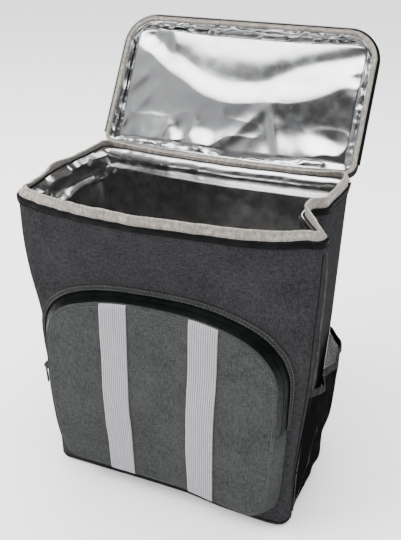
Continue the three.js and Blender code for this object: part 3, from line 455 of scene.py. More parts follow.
def ruckAt(points):
    # slack of the padded cloth: wide soft dents, and short pulls under the zip
    high = points[..., 2]
    wide = softNoise(points, 62, 1) * 0.7 + softNoise(points * (1, 1, 0.6), 30, 2) * 0.3
    pulls = softNoise(points * (1, 1, 0.16), 9, 3)
    nearTop = np.exp(-((body["height"] - high) / 26) ** 2)
    return body["ruck"] * wide + body["pull"] * pulls * nearTop


def bodyGrid(places, z, out=0.0):
    z = np.atleast_1d(np.asarray(z, float))[:, None]
    height = np.clip(z / body["height"], 0, 1)
    half, corner = halfSizes(height), body["corner"]
    stand = corner + swellAt(places, height)
    across = mix(corner - half["left"], half["right"] - corner, (places["x"] + 1) / 2)
    deep = mix(corner - half["front"], half["back"] - corner, (places["y"] + 1) / 2)
    across, deep = across + places["turnX"] * stand, deep + places["turnY"] * stand
    points = np.stack([across, deep, np.broadcast_to(z, across.shape)], axis=-1)
    normal = gridNormal(points)
    return points + normal * (out + ruckAt(points))[..., None]


def gridNormal(points):
    along = np.roll(points, -1, axis=1) - np.roll(points, 1, axis=1)
    return unit(np.stack([along[..., 1], -along[..., 0], np.zeros(along.shape[:2])], axis=-1))


def wallPoint(side, where, z, out=0.0):
    # a place on the outside of one wall: where is x on the front and back, y on the sides
    where, z = np.broadcast_arrays(np.asarray(where, float), np.asarray(z, float))
    height = np.clip(z / body["height"], 0, 1)
    half, corner = halfSizes(height), body["corner"]
    lengthwise = side in ("front", "back")
    if lengthwise:
        low, high = corner - half["left"], half["right"] - corner
    else:
        low, high = corner - half["front"], half["back"] - corner
    along = np.clip(2 * (where - low) / (high - low) - 1, -1, 1)
    level = half[side] + swell(side, along, height)
    sign = {"front": -1, "left": -1, "right": 1, "back": 1}[side]

    def placed(level):
        return np.stack((where, sign * level, z) if lengthwise else (sign * level, where, z), axis=-1)

    return placed(level + ruckAt(placed(level)) + out)


bodyPlaces = roundPlaces({"front": 132, "right": 76, "left": 66, "back": 90}, 7)
frontThree = np.flatnonzero(bodyPlaces["turnY"] <= 1e-9)
tapeFoot = body["height"] - body["tape"]
teethFoot = tapeFoot - body["gap"] - body["teeth"]


def makeBodyShell(material):
    base, height = body["base"], body["height"]
    turn = np.linspace(math.pi / 2, 0, 6)[:-1]
    rims = [bodyGrid(bodyPlaces, base * (1 - math.sin(a)), -base * (1 - math.cos(a))) for a in turn]
    rows = np.concatenate([np.linspace(base, 320, 96), np.linspace(322.5, height, 14)])
    outside = np.concatenate([*rims, bodyGrid(bodyPlaces, rows)])
    dent = body["stitchPull"] * np.exp(-((outside[..., 2] - teethFoot - 2) / body["stitchPullHeight"]) ** 2)
    outside -= gridNormal(outside) * dent[..., None]
    inside = bodyGrid(bodyPlaces, np.array([height, 330, 280, 220, 160, 100, 50, base]), -body["wall"])
    whole = np.concatenate([outside, inside])
    makePiece("bodyShell", closedParts(whole), material, ["body_shell"])


# Foil bag inside the body
foilBag = {
    "crease": 5.5, "creaseSize": 40.0,  # the large creases
    "upright": 7.0, "uprightSize": 17.0,  # the upright folds in the side walls
    "crumple": 0.9, "crumpleSize": 15.0,  # the small creases
    "rollHeight": 25.0, "rollOut": 7.0,  # slack roll of foil below the mouth
    "pleat": 1.0, "pleatSize": 10.0,
    "floorCrease": 2.2, "floorCreaseSize": 34.0,
    "rightSlack": 0.4, "rightFolds": 0.2,  # the right wall's share of the large creases and the upright folds
}


def creaseField(points, size, seed, sharp=1.0):
    # sharp ridges with soft hollows between them
    bends = np.stack([softNoise(points, size * 1.7, seed + k) for k in (5, 6, 7)], axis=-1)
    return 1 - np.abs(softNoise(points + 0.35 * size * bends, size, seed)) ** sharp * 2


def makeFoilLiner(material):
    height, floor = body["height"], body["wall"] + body["gap"]
    rows = np.concatenate([np.linspace(floor, 250, 50), np.linspace(253, height, 42)])
    outer = bodyGrid(bodyPlaces, rows, -(body["wall"] + body["seam"]))
    z = outer[..., 2]
    free = smoothStep(floor, floor + 14, z) * (1 - smoothStep(height - 5, height - 0.5, z))
    flank = np.abs(bodyPlaces["turnX"]) ** 0.5  # the side walls are slack, and the front and back lie smooth
    atBack, atRight = np.clip(bodyPlaces["turnY"], 0, 1), np.clip(bodyPlaces["turnX"], 0, 1)
    crease = creaseField(outer * (1, 1, 0.3), foilBag["creaseSize"], 1) * foilBag["crease"]
    crease = crease * (0.25 + 0.75 * flank) * mix(1, foilBag["rightSlack"], atRight)
    folded = np.where(bodyPlaces["turnX"] < 0, flank, flank * foilBag["rightFolds"]) * (1 - atBack)
    folds = softNoise(outer * (1, 1, 0.12), foilBag["uprightSize"], 3)
    crease = crease + folded * foilBag["upright"] * (0.4 + folds)
    crumple = creaseField(outer * (1, 1, 0.6), foilBag["crumpleSize"], 4) * foilBag["crumple"]
    crumple = crumple * (0.1 + 0.9 * flank)
    belowMouth = (height - z) / foilBag["rollHeight"]
    roll = np.sin(np.clip(belowMouth, 0, 1) ** 0.8 * math.pi) ** 0.8
    roll = roll * foilBag["rollOut"] * (0.08 + 0.92 * atBack)
    pleats = creaseField(outer * (1, 1, 0.25), foilBag["pleatSize"], 9) * foilBag["pleat"]
    inward = free * np.maximum(crease + crumple, -0.2) + roll * (0.88 + 0.12 * pleats)
    tight = np.exp(-((belowMouth - 1.05) / 0.16) ** 2)  # a seam holds the foil under the roll
    inward = np.maximum(inward * (1 - 0.7 * tight), 0)
    front = gridNormal(outer)
    inner = outer - front * (body["liner"] * 0.6 + inward)[..., None]
    outer = outer - front * np.minimum(inward, 0.4)[..., None]
    shares = np.linspace(1, 0, 22)[:, None, None]
    middle = inner[:1].mean(axis=1, keepdims=True)
    bottom = middle + (inner[:1] - middle) * shares
    raised = np.maximum(0, creaseField(bottom, foilBag["floorCreaseSize"], 2)) * foilBag["floorCrease"]
    bottom[..., 2] = floor + body["liner"] + raised * np.sin(shares[..., 0] * math.pi)
    whole = np.concatenate([outer, inner[::-1][:-1], bottom])
    parts = [fanPart(outer[0]), gridPart(whole, True)]
    makePiece("foilLiner", parts, material, ["foil_liner"], sharp=40)


# Mouth: zip tape, coil and the bound seam
mouthTrim = {
    "tapeShown": 4.6, "tapeCrown": 0.25, "coilRadius": 0.95, "coilPitch": 1.7,
    "bindingRuck": 0.7, "fray": 0.5, "edgeFrom": 0.84,
    "rows": (0, 0.15, 0.3, 0.45, 0.6, 0.75, 0.84, 0.9, 0.95, 0.985, 1.0),
}
bindingStitch = {"length": 2.4, "space": 1.3, "thread": 0.36}


def coilParts(line, out, radius, pitch):
    # the spiral of a zip along a line
    steps = lengthsAlong(line)
    at = np.arange(0, steps[-1], pitch / 7)
    path, normal = readLine(at, steps, line), unit(readLine(at, steps, out))
    across = unit(np.cross(tangents(path), normal))
    angle = at / pitch * 2 * math.pi
    spiral = path + radius * (np.cos(angle)[:, None] * across + 0.62 * np.sin(angle)[:, None] * normal)
    return tubeParts(spiral, radius * 0.34, 4)


def makeMouthTrim(tape, coil, twill, thread):
    tapeEnd = body["height"] - mouthTrim["tapeShown"]
    rows = np.linspace(tapeEnd, body["height"] - 0.2, 5)
    bulge = mouthTrim["tapeCrown"] * np.sin(np.linspace(0, math.pi, 5))[:, None]
    outer = bodyGrid(bodyPlaces, rows, body["seam"] + body["tapeThick"] + bulge)[:, frontThree]
    parts = sheetParts(outer, bodyGrid(bodyPlaces, rows, body["seam"])[:, frontThree])
    makePiece("mouthTape", parts, tape, ["mouth_zip_tape"])
    ring = bodyGrid(bodyPlaces, [tapeEnd - 0.9], body["seam"] + 0.6)
    normal = gridNormal(ring)[0, frontThree]
    parts = coilParts(ring[0, frontThree], normal, mouthTrim["coilRadius"], mouthTrim["coilPitch"])
    makePiece("mouthCoil", parts, coil, ["mouth_zip_teeth"])

    foot = bodyGrid(bodyPlaces, [body["height"]])
    normal = gridNormal(foot)[0]
    lean, rise = np.zeros(foot.shape[1]), np.zeros(foot.shape[1])
    for side, here, along, weight in eachSide(bodyPlaces):
        at, leans, rises = bindingShape[side]
        lean[here] += readTable(at, leans, along) * weight
        rise[here] += readTable(at, rises, along) * weight
    lean, rise = np.radians(lean), rise * body["bindingHeight"]
    gap, thick = body["gap"], body["bindingThick"]

    def surface(inward, shares):
        rows = []
        for share in shares:
            overEdge = max(0.0, (share - mouthTrim["edgeFrom"]) / (1 - mouthTrim["edgeFrom"]))
            roundEnd = math.sqrt(max(0.0, 1 - overEdge ** 2))
            inside = mix(0.5, inward, roundEnd) * thick
            wave = mouthTrim["bindingRuck"] * softNoise(foot[0], 14, 12) * share ** 1.5
            edge = mouthTrim["fray"] * softNoise(foot[0], 3.5, 13) * (share > 0.9)
            tall = rise * share + edge * 0.5
            amount = -gap - np.sin(lean) * tall - np.cos(lean) * inside + wave
            high = gap + np.cos(lean) * tall + np.sin(lean) * (thick - inside)
            points = foot[0] + normal * amount[:, None]
            points[:, 2] = body["height"] + high
            rows.append(points)
        return np.array(rows)

    shares = np.array(mouthTrim["rows"])
    outer, inner = surface(0, shares), surface(1, shares)
    makePiece("mouthBinding", sheetParts(outer, inner, True), twill, ["mouth_binding"])
    for k, share in enumerate((0.2, 0.72)):
        row = int(np.argmin(np.abs(shares - share)))
        line = outer[row][frontThree]
        out = unit(np.cross(tangents(line), unit(outer[row + 1] - outer[row])[frontThree]))
        out *= np.sign(np.sum(out * normal[frontThree], axis=1, keepdims=True))
        parts = stitchParts(line + out * 0.1, out, **bindingStitch)
        makePiece(f"bindingStitch{k}", parts, thread)


# Lid: modelled shut, with its hinge along the X axis, and turned open
lid = {
    "angle": 124.7, "length": 166.0, "overhang": 3.0, "depth": 18.0, "wall": 4.0, "dome": 5.0,
    "frontRadius": 36.0, "rearRadius": 14.0, "binding": 11.0, "bowReach": 62.0,
    "setback": 2.6, "rise": 1.6, "hingeLeg": 11.0, "cloth": 1.2,
    # the foil's crest and the valley beyond it, as shares across the lid and up from its hinge
    "crest": (
        (-1, -0.8, -0.6, -0.45, -0.3, -0.08, 0.15, 0.3, 0.42, 0.6, 0.8, 1),
        (0.84, 0.74, 0.61, 0.54, 0.46, 0.41, 0.43, 0.45, 0.45, 0.5, 0.6, 0.68),
    ),
    "valley": ((-1, -0.4, -0.1, 0.16, 0.43, 0.87, 1), (0.74, 0.68, 0.62, 0.6, 0.71, 0.84, 0.88)),
    "crestHeight": 8.0, "valleyDepth": 2.6, "foilStand": 3.6, "foilSoft": 12.0, "foilMost": 16.0,
    "wrinkle": 1.5, "wrinkleSize": 30.0,  # slack foil near the hinge
    "seamRadius": 2.4, "pipingRadius": 1.5, "tapeCrown": 2.0, "bindingRuck": 2.4,
}
foldRows = [
    # from across, from up, to across, to up, height, width, all as shares but the height in millimetres
    (-0.86, 0.92, -0.7, 0.78, -3.2, 0.085),
    (-0.62, 0.98, -0.58, 0.72, 1.8, 0.045),
    (-0.85, 0.1, -0.5, 0.17, 4.4, 0.1),
    (-0.48, 0.2, -0.42, 0.05, 1.4, 0.035),
    (-0.36, 0.09, -0.1, 0.1, 3.6, 0.085),
    (-0.06, 0.1, 0.26, 0.4, 2.0, 0.045),
    (0.3, 0.42, 0.42, 0.06, 1.8, 0.04),
    (0.5, 0.1, 0.85, 0.11, 5.0, 0.1),
    (0.87, 0.72, 0.9, 0.6, -2.4, 0.05),
    (-0.96, 0.4, -0.74, 0.6, 1.6, 0.05),
    (-0.9, 0.2, -0.68, 0.46, 1.3, 0.05),
]
lidAngle = math.radians(lid["angle"])
lidHalf = body["width"] / 2 + lid["overhang"]
hingeLine = np.array([0, float(halfSizes(1.0)["back"]) + lid["setback"], body["height"] + lid["rise"]])
lidPlaces = roundPlaces({"front": 96, "right": 50, "left": 50, "back": 96}, 16)
lidThree = np.flatnonzero(lidPlaces["turnY"] <= 1e-9)


def openLid(points):
    c, s = math.cos(-lidAngle), math.sin(-lidAngle)
    x, y, z = points[..., 0], points[..., 1], points[..., 2]
    return np.stack([x, y * c - z * s, y * s + z * c], axis=-1) + hingeLine


def sagged(points):
    near = np.maximum(0, 1 + np.minimum(points[..., 1], 0) / lid["bowReach"])
    share = np.clip(points[..., 0] / (body["width"] / 2 - body["corner"]), -1, 1)
    sag = -swell("back", share, 1.0) * near ** 2
    shift = np.stack([sag * 0, -math.cos(lidAngle) * sag, -math.sin(lidAngle) * sag], axis=-1)
    return points + shift


def lidRing(inset, z, share=1.0):
    # a ring round the lid at a height or at the height that a function gives for its points
    turn = (lidPlaces["y"] + 1) / 2
    r = mix(lid["frontRadius"], lid["rearRadius"], turn)
    deep = mix(lid["frontRadius"] - lid["length"], -lid["rearRadius"], turn)
    across = lidPlaces["x"] * (lidHalf - r) + lidPlaces["turnX"] * r
    ring = np.stack([across, deep + lidPlaces["turnY"] * r, r * 0], axis=-1)
    ring = ring - gridNormal(ring[None])[0] * np.asarray(inset)[..., None]
    middle = np.array([0, -lid["length"] / 2, 0])
    ring = middle + (ring - middle) * share
    ring[:, 2] = z(ring) if callable(z) else z
    return ring


def lidDome(points):
    reach = np.maximum(np.abs(points[:, 0]) / lidHalf, np.abs(2 * points[:, 1] / lid["length"] + 1))
    return lid["depth"] + lid["dome"] * (1 - np.minimum(reach, 1) ** 2)


def foilHeight(points):
    # how far the lid's foil stands off its panel: a slack bulge with one long crest and smaller folds
    a, u = points[:, 0] / lidHalf, -points[:, 1] / lid["length"]
    toSides, toEnds = lidHalf - np.abs(points[:, 0]), np.minimum(-points[:, 1], lid["length"] + points[:, 1])
    inner = smoothStep(0, 12, np.minimum(toSides, toEnds) - lid["wall"])
    crest = readTable(*lid["crest"], a)
    rise = u - crest
    soft = np.sqrt(rise ** 2 + 0.012 ** 2) - 0.012  # a rather sharp crest with a slope on each side
    above = 1 - 0.38 * smoothStep(-0.02, 0.16, soft) - 0.62 * smoothStep(0.2, 0.56, soft)
    below = np.clip(1 - soft / np.maximum(crest - 0.03, 0.2), 0, 1) ** 1.15
    total = lid["foilStand"] + lid["crestHeight"] * np.where(rise > 0, above, below)
    valley = readTable(*lid["valley"], a)
    spread = mix(0.12, 0.07, smoothStep(0, 0.7, a))
    total -= lid["valleyDepth"] * np.exp(-((u - valley) / spread) ** 2) * smoothStep(-0.7, 0.2, a)
    size = np.array([lidHalf, lid["length"]])
    for fromA, fromU, toA, toU, high, wide in foldRows:
        start = np.array([fromA, fromU]) * size
        line, spot = np.array([toA, toU]) * size - start, np.stack([a, u], axis=-1) * size - start
        t = np.clip(spot @ line / (line @ line), 0, 1)
        away = np.linalg.norm(spot - t[:, None] * line, axis=-1) / (wide * lid["length"])
        total += high * np.exp(-away ** 2) * (0.3 + 0.7 * smoothStep(0, 0.4, t) * smoothStep(0, 0.4, 1 - t))
    flat = np.stack([points[:, 0], points[:, 1], points[:, 0] * 0], axis=-1)
    total += 0.5 * softNoise(flat, 34, 21) + 0.12 * softNoise(flat, 12, 22)
    total += lid["wrinkle"] * creaseField(flat, lid["wrinkleSize"], 27, 0.8) * smoothStep(0.4, 0.1, u)
    limit = lid["foilSoft"]
    return inner * np.clip(total - np.maximum(total - limit, 0) ** 2 / limit, 0, lid["foilMost"])


def lidSheet(rings):
    return openLid(sagged(np.array(rings)))


def makeLid(cloth, foil, twill, tape, coil, thread):
    shares = np.sin(np.linspace(0.02, math.pi / 2, 22))
    wall, depth = lid["wall"], lid["depth"]
    radius = lid["seamRadius"]

    def domed(points):
        return lidDome(points) + 0.45 * softNoise(points, 34, 31) + 0.15 * softNoise(points, 15, 32)

    rings = [lidRing(0.3, domed, s) for s in shares[:-1]]
    for angle in np.linspace(0, math.pi / 2, 8):  # the rounded seam between the lid's top and its side band
        rings.append(lidRing(radius * (1 - math.sin(angle)), depth - radius + radius * math.cos(angle)))
    side = [lidRing(0.5 * math.sin(z / depth * math.pi) - 0.1, z) for z in np.linspace(depth - 3.2, 0.4, 10)]
    rings += side + [lidRing(0.4, 0.0), lidRing(wall - 0.4, 0.0)]
    rings += [lidRing(wall, z) for z in (0.4, 5, 10, depth - wall)]
    rings += [lidRing(wall, lambda p: lidDome(p) - wall, s) for s in shares[:-1:3][::-1]]
    makePiece("lidShell", closedParts(lidSheet(rings)), cloth, ["lid_shell"])

    # piping along the lid's outer seam
    line = lidSheet([lidRing(0.9, depth + 0.2)])[0]
    makePiece("lidPiping", tubeParts(line, lid["pipingRadius"], 8, True), tape)

    outIn, thin = wall + body["gap"], body["liner"]
    top = depth - wall - body["gap"]
    fine = np.concatenate([[0.005], np.linspace(0.03, 0.9, 58), np.linspace(0.91, 1.0, 12)])

    def sideRing(z):
        ring = lidRing(outIn + thin, z)
        free = math.sin(math.pi * min(max((z - 0.2) / (top - 0.4), 0), 1))
        wave = creaseField(ring * (1, 1, 0.6) + (0, 0, z * 0.5), 9, 25) * 1.5 + creaseField(ring, 40, 26)
        return lidRing(outIn + thin + np.maximum(wave + 0.9, 0) * free, z)

    face = [lidRing(outIn + thin, lambda p: top - thin - foilHeight(p), s) for s in fine]
    rings = face + [sideRing(z) for z in np.linspace(top - 1.8, 0.1, 12)]
    rings += [lidRing(outIn, z) for z in (0.1, 6.0, top)]
    rings += [lidRing(outIn, lambda p: top - foilHeight(p) * 0.98, s) for s in fine[:-1:6][::-1]]
    makePiece("lidFoil", closedParts(lidSheet(rings)), foil, ["lid_foil"], sharp=40)

    # the bound seam: a folded tape that lies on the lid's rim, rucked at its corners
    gap, thick = body["gap"], body["bindingThick"]
    wide = lid["binding"] * mix(0.52, 0.36, np.clip(lidPlaces["turnY"], 0, 1))
    cornerness = 1 - np.maximum(np.abs(lidPlaces["turnX"]), np.abs(lidPlaces["turnY"])) ** 6
    cornerness = np.clip(cornerness * 1.6, 0, 1) * (lidPlaces["y"] < 0)

    def seamRing(inset, z, part):
        ring = lidRing(inset, z)
        wave = softNoise(ring * (1, 1, 0), 16, 41)
        wave = wave + cornerness * softNoise(ring, 5.5, 42) * lid["bindingRuck"]
        edge = softNoise(ring, 3.4, 43) * 0.7 * part
        return lidRing(inset + wave * part + edge, z + softNoise(ring, 8, 44) * 0.35 * part)

    section = np.linspace(0, 1, 11)
    fat = thick * np.sqrt(np.clip(1 - np.abs(2 * section - 1) ** 6, 0, 1))
    low = [seamRing(-0.2 + wide * s, -gap - f, s) for s, f in zip(section, fat)]
    high = [seamRing(-0.2 + wide * s, -gap - 0.02, s) for s in section]
    parts = sheetParts(lidSheet(low), lidSheet(high), True)
    makePiece("lidBinding", parts, twill, ["lid_binding"])
    inside = np.array([0, math.sin(-lidAngle), -math.cos(lidAngle)])
    for k, s in enumerate((2, 8)):
        line, nearby = lidSheet([low[s]])[0], lidSheet([low[s + 1]])[0]
        out = unit(np.cross(tangents(line, True), unit(nearby - line)))
        out *= np.sign(np.sum(out * inside, axis=1, keepdims=True) + 1e-9)
        parts = stitchParts(line + out * 0.1, out, **bindingStitch)
        makePiece(f"lidStitch{k}", parts, thread)

    tapeRows, backRows = [], []
    for share in np.linspace(0, 1, 5):
        bulge = lid["tapeCrown"] * math.sin(share * math.pi) ** 0.4
        tapeRows.append(lidRing(-gap - body["tapeThick"] - bulge, share * body["tape"]))
        backRows.append(lidRing(-gap, share * body["tape"]))
    parts = sheetParts(lidSheet(tapeRows)[:, lidThree], lidSheet(backRows)[:, lidThree])
    makePiece("lidTape", parts, tape, ["lid_zip_tape"])
    teeth = body["teeth"]
    rows = lidSheet([lidRing(-gap - teeth * share, -gap - teeth * 0.55) for share in (0.55, 2)])
    line, further = rows[:, lidThree]
    parts = coilParts(line, unit(further - line), teeth * 0.5, mouthTrim["coilPitch"])
    makePiece("lidCoil", parts, coil, ["lid_zip_teeth"])

    # the cloth hinge, with rucks under its binding
    half = body["width"] / 2 - body["corner"] - 6
    x = np.linspace(-half, half, 150)

    def hingeSide(off):
        start = openLid(sagged(np.stack([x, x * 0 + off, x * 0], axis=-1)))
        end = openLid(sagged(np.stack([x, x * 0 + off, x * 0 + lid["hingeLeg"]], axis=-1)))
        slope = (end[:, 2] - start[:, 2]) / (end[:, 1] - start[:, 1])
        y = wallPoint("back", x, x * 0 + body["height"])[:, 1] + off
        bend = np.stack([x, y, start[:, 2] + (y - start[:, 1]) * slope], axis=-1)
        drops = [lid["hingeLeg"] * share for share in (1, 0.66, 0.33)]
        foot = [wallPoint("back", x, x * 0 + body["height"] - drop) + (0, off, 0) for drop in drops]
        return np.array([*foot, bend, mix(bend, end, 0.33), mix(bend, end, 0.66), end])

    outer, inner = hingeSide(body["seam"] + lid["cloth"]), hingeSide(body["seam"])
    makePiece("lidHinge", sheetParts(outer, inner), twill, ["lid_hinge"])


# Front pocket
pocket = {
    "width": 276.0, "bottom": 24.0, "top": 271.0, "depth": 24.0, "panel": 2.5, "crown": 3.0,
    "gusset": 1.8, "slit": 0.9, "slider": 157.0, "welt": 9.0, "weltThick": 2.2, "weltEdge": 0.8,
    "sections": ((0.0, 0.2, 0.6, 1.0), (0.6, 0.9, 0.95, 0.56)),
    "zipRightRow": 8, "zipLeftRow": 26, "zipBulge": 0.2, "coilRadius": 0.9, "coilPitch": 1.6,
    "groove": 0.45, "grooves": (0.22, 0.8),  # where the fold outside the zip is sewn down
    "pucker": 0.77, "slack": 0.8,  # unevenness of the panel at its edge and over its face
}
panelStitch = {"length": 2.5, "space": 1.2, "thread": 0.34}
forward = np.array([0.0, -1.0, 0.0])
pocketRows = [
    # outline on the wall and outline of the panel: across, up, across, up
    (0.0, 0.0, 0.0, 0.016), (0.326, 0.0, 0.312, 0.012), (0.652, -0.012, 0.609, -0.004),
    (0.855, -0.016, 0.783, -0.012), (0.957, 0.012, 0.891, 0.02), (0.993, 0.073, 0.938, 0.085),
    (1.0, 0.219, 0.949, 0.215), (1.0, 0.356, 0.949, 0.356), (0.996, 0.457, 0.949, 0.457),
    (0.993, 0.551, 0.946, 0.543), (0.986, 0.684, 0.935, 0.656), (0.964, 0.749, 0.928, 0.725),
    (0.899, 0.826, 0.877, 0.802), (0.768, 0.903, 0.754, 0.879), (0.572, 0.957, 0.572, 0.931),
    (0.319, 0.992, 0.333, 0.964), (0.058, 1.002, 0.058, 0.978), (-0.217, 0.998, -0.225, 0.976),
    (-0.428, 0.984, -0.42, 0.96), (-0.601, 0.96, -0.572, 0.937), (-0.754, 0.923, -0.71, 0.907),
    (-0.884, 0.87, -0.812, 0.866), (-0.971, 0.806, -0.884, 0.81), (-1.011, 0.737, -0.92, 0.729),
    (-1.022, 0.652, -0.931, 0.628), (-1.014, 0.51, -0.935, 0.494), (-1.0, 0.389, -0.931, 0.381),
    (-0.978, 0.235, -0.917, 0.243), (-0.949, 0.089, -0.88, 0.097), (-0.913, 0.028, -0.841, 0.04),
    (-0.812, 0.004, -0.746, 0.024), (-0.565, 0.004, -0.536, 0.02), (-0.275, 0.002, -0.261, 0.016),
]
rowSteps = 9


def pocketCurves():
    rows = smoothLine(np.array(pocketRows), rowSteps, True)
    half, span = pocket["width"] / 2, pocket["top"] - pocket["bottom"]
    foot = np.stack([rows[:, 0] * half, pocket["bottom"] + rows[:, 1] * span], axis=-1)
    rim = np.stack([rows[:, 2] * half, pocket["bottom"] + rows[:, 3] * span], axis=-1)
    return foot, rim


def onFront(flat, out=0.0):
    widest = body["width"] * 0.455
    return wallPoint("front", np.clip(flat[:, 0], -widest, widest), flat[:, 1], out)[:, 1]


def makePocket(panelCloth, rubber, coil, cloth, thread):
    footFlat, rimFlat = pocketCurves()
    count = len(footFlat)
    foot = np.stack([footFlat[:, 0], onFront(footFlat, 2 * body["seam"]), footFlat[:, 1]], axis=-1)
    share = (rimFlat[:, 1] - pocket["bottom"]) / (pocket["top"] - pocket["bottom"])
    depth = pocket["depth"] * readTable(*pocket["sections"], share)
    rim = np.stack([rimFlat[:, 0], onFront(rimFlat) - depth, rimFlat[:, 1]], axis=-1)
    around = tangents(footFlat, True)
    away = np.stack([around[:, 1], around[:, 0] * 0, -around[:, 0]], axis=-1)
    slope = unit(rim - foot)
    bandOut = unit(np.cross(slope, np.stack([around[:, 0], around[:, 0] * 0, around[:, 1]], axis=-1)))
    bandOut *= np.sign(np.sum(bandOut * away, axis=1, keepdims=True))
    right, left = pocket["zipRightRow"] * rowSteps, pocket["zipLeftRow"] * rowSteps
    arch = np.arange(right, left + 1)
    low = np.arange(left, count + right + 1) % count
    size = np.linalg.norm(rim - foot, axis=1)

    def band(columns, start, end, bulge, ruck=0.0):
        t = np.linspace(0, 1, 9)
        shares = start + (end - start) * t
        rows = foot[None, columns] + (rim - foot)[None, columns] * shares[:, None, None]
        wave = ruck * softNoise(rows, 9, 51) * np.sin(t * math.pi)[:, None]
        outer = rows + bandOut[None, columns] * (bulge * np.sin(t * math.pi)[:, None] + wave)[..., None]
        return sheetParts(outer, rows - away[None, columns] * pocket["gusset"])

    slit = pocket["slit"] / 2 / float(np.median(size[arch]))
    rear, front = band(arch, 0, 0.5 - slit, pocket["zipBulge"]), band(arch, 0.5 + slit, 1, pocket["zipBulge"])
    makePiece("pocketZipRear", rear, rubber, ["pocket_zip_rear"])
    makePiece("pocketZipFront", front, rubber, ["pocket_zip_front"])
    line = (foot[arch] + rim[arch]) / 2 - bandOut[arch] * 1.3
    parts = coilParts(line, bandOut[arch], pocket["coilRadius"], pocket["coilPitch"])
    makePiece("pocketCoil", parts, coil)
    makePiece("pocketGusset", band(low, 0, 1, 0.5, 0.5), panelCloth, ["pocket_gusset"])

    # panel: crowned, with small puckers where it is sewn round its edge
    heart = rim.mean(axis=0)
    shares = np.concatenate([np.linspace(0.004, 0.86, 44), np.linspace(0.875, 1, 13)])[:, None]
    front = heart + (rim - heart)[None] * shares[..., None]
    back = front.copy()
    reach = lengthsAlong(rim)[None] + shares * 0
    pucker = softNoise(np.stack([reach, reach * 0 + shares * 40, reach * 0], axis=-1), 7.5, 52)
    slack = (softNoise(front, 52, 53) * 1.5 + softNoise(front, 24, 55) * 0.5) * (1 - shares ** 3)
    near = np.exp(-((1 - shares) / 0.055) ** 2) * smoothStep(0, 0.03, 1 - shares)
    roll = 1 - np.sqrt(np.clip(1 - np.clip((shares - 0.985) / 0.015, 0, 1) ** 2, 0, 1))
    crown = pocket["crown"] * (1 - shares ** 2)
    groove = 0.5 * np.exp(-((1 - shares - 0.03) / 0.006) ** 2)
    out = pocket["panel"] * (1 - 0.9 * roll) + crown - groove
    out = out + pocket["pucker"] * pucker * near + pocket["slack"] * slack
    front[..., 1] -= body["gap"] + np.maximum(out, 0.02)
    back[..., 1] -= body["gap"] + crown
    whole = np.concatenate([front, rim[None] - (0, body["gap"], 0), back[::-1][4::4]])
    panel = makePiece("pocketPanel", closedParts(whole), panelCloth, ["pocket_panel"])
    stitchRow = front[int(np.argmin(np.abs(shares[:, 0] - 0.97)))]
    makePiece("panelStitch", stitchParts(stitchRow, forward, **panelStitch), thread)

    # stitched fold outside the zip
    fromEnd = np.minimum(np.arange(len(arch)), np.arange(len(arch))[::-1])
    fade = np.clip(fromEnd / (4 * rowSteps), 0, 1)
    width = pocket["welt"] * mix(0.3, 0.72, fade)

    def weltRows(surface):
        rows = []
        for p in np.linspace(0, 1, 13):
            spot = foot[arch] + away[arch] * (body["gap"] + p * width)[:, None]
            roundEnd = math.sqrt(max(0.0, 1 - abs(2 * p - 1) ** 8))
            thick = mix(pocket["weltThick"], pocket["weltEdge"], p) * roundEnd
            groove = pocket["groove"] * sum(math.exp(-((p - at) / 0.06) ** 2) for at in pocket["grooves"])
            wave = 0.25 * softNoise(spot, 8, 54)
            raised = np.maximum(thick - groove + wave, 0.1) if surface else 0
            spot[:, 1] = onFront(spot[:, ::2], 2 * body["seam"]) - raised
            rows.append(spot)
        return np.array(rows)

    face, rear = weltRows(True), weltRows(False)
    # the fold's cloth is the body's cloth a little lighter, a painted highlight on the raised fold
    makePiece("pocketFold", sheetParts(face, rear), cloth, ["pocket_welt"])
    for k, row in enumerate((3, 10)):
        makePiece(f"foldStitch{k}", stitchParts(face[row], forward, **panelStitch), thread)
    return panel, foot, rim, footFlat, rimFlat


# Elastic bands on the pocket
elastic = {"width": 30.0, "left": -45.0, "right": 51.0, "thick": 1.4, "ribs": 13, "rib": 0.8}


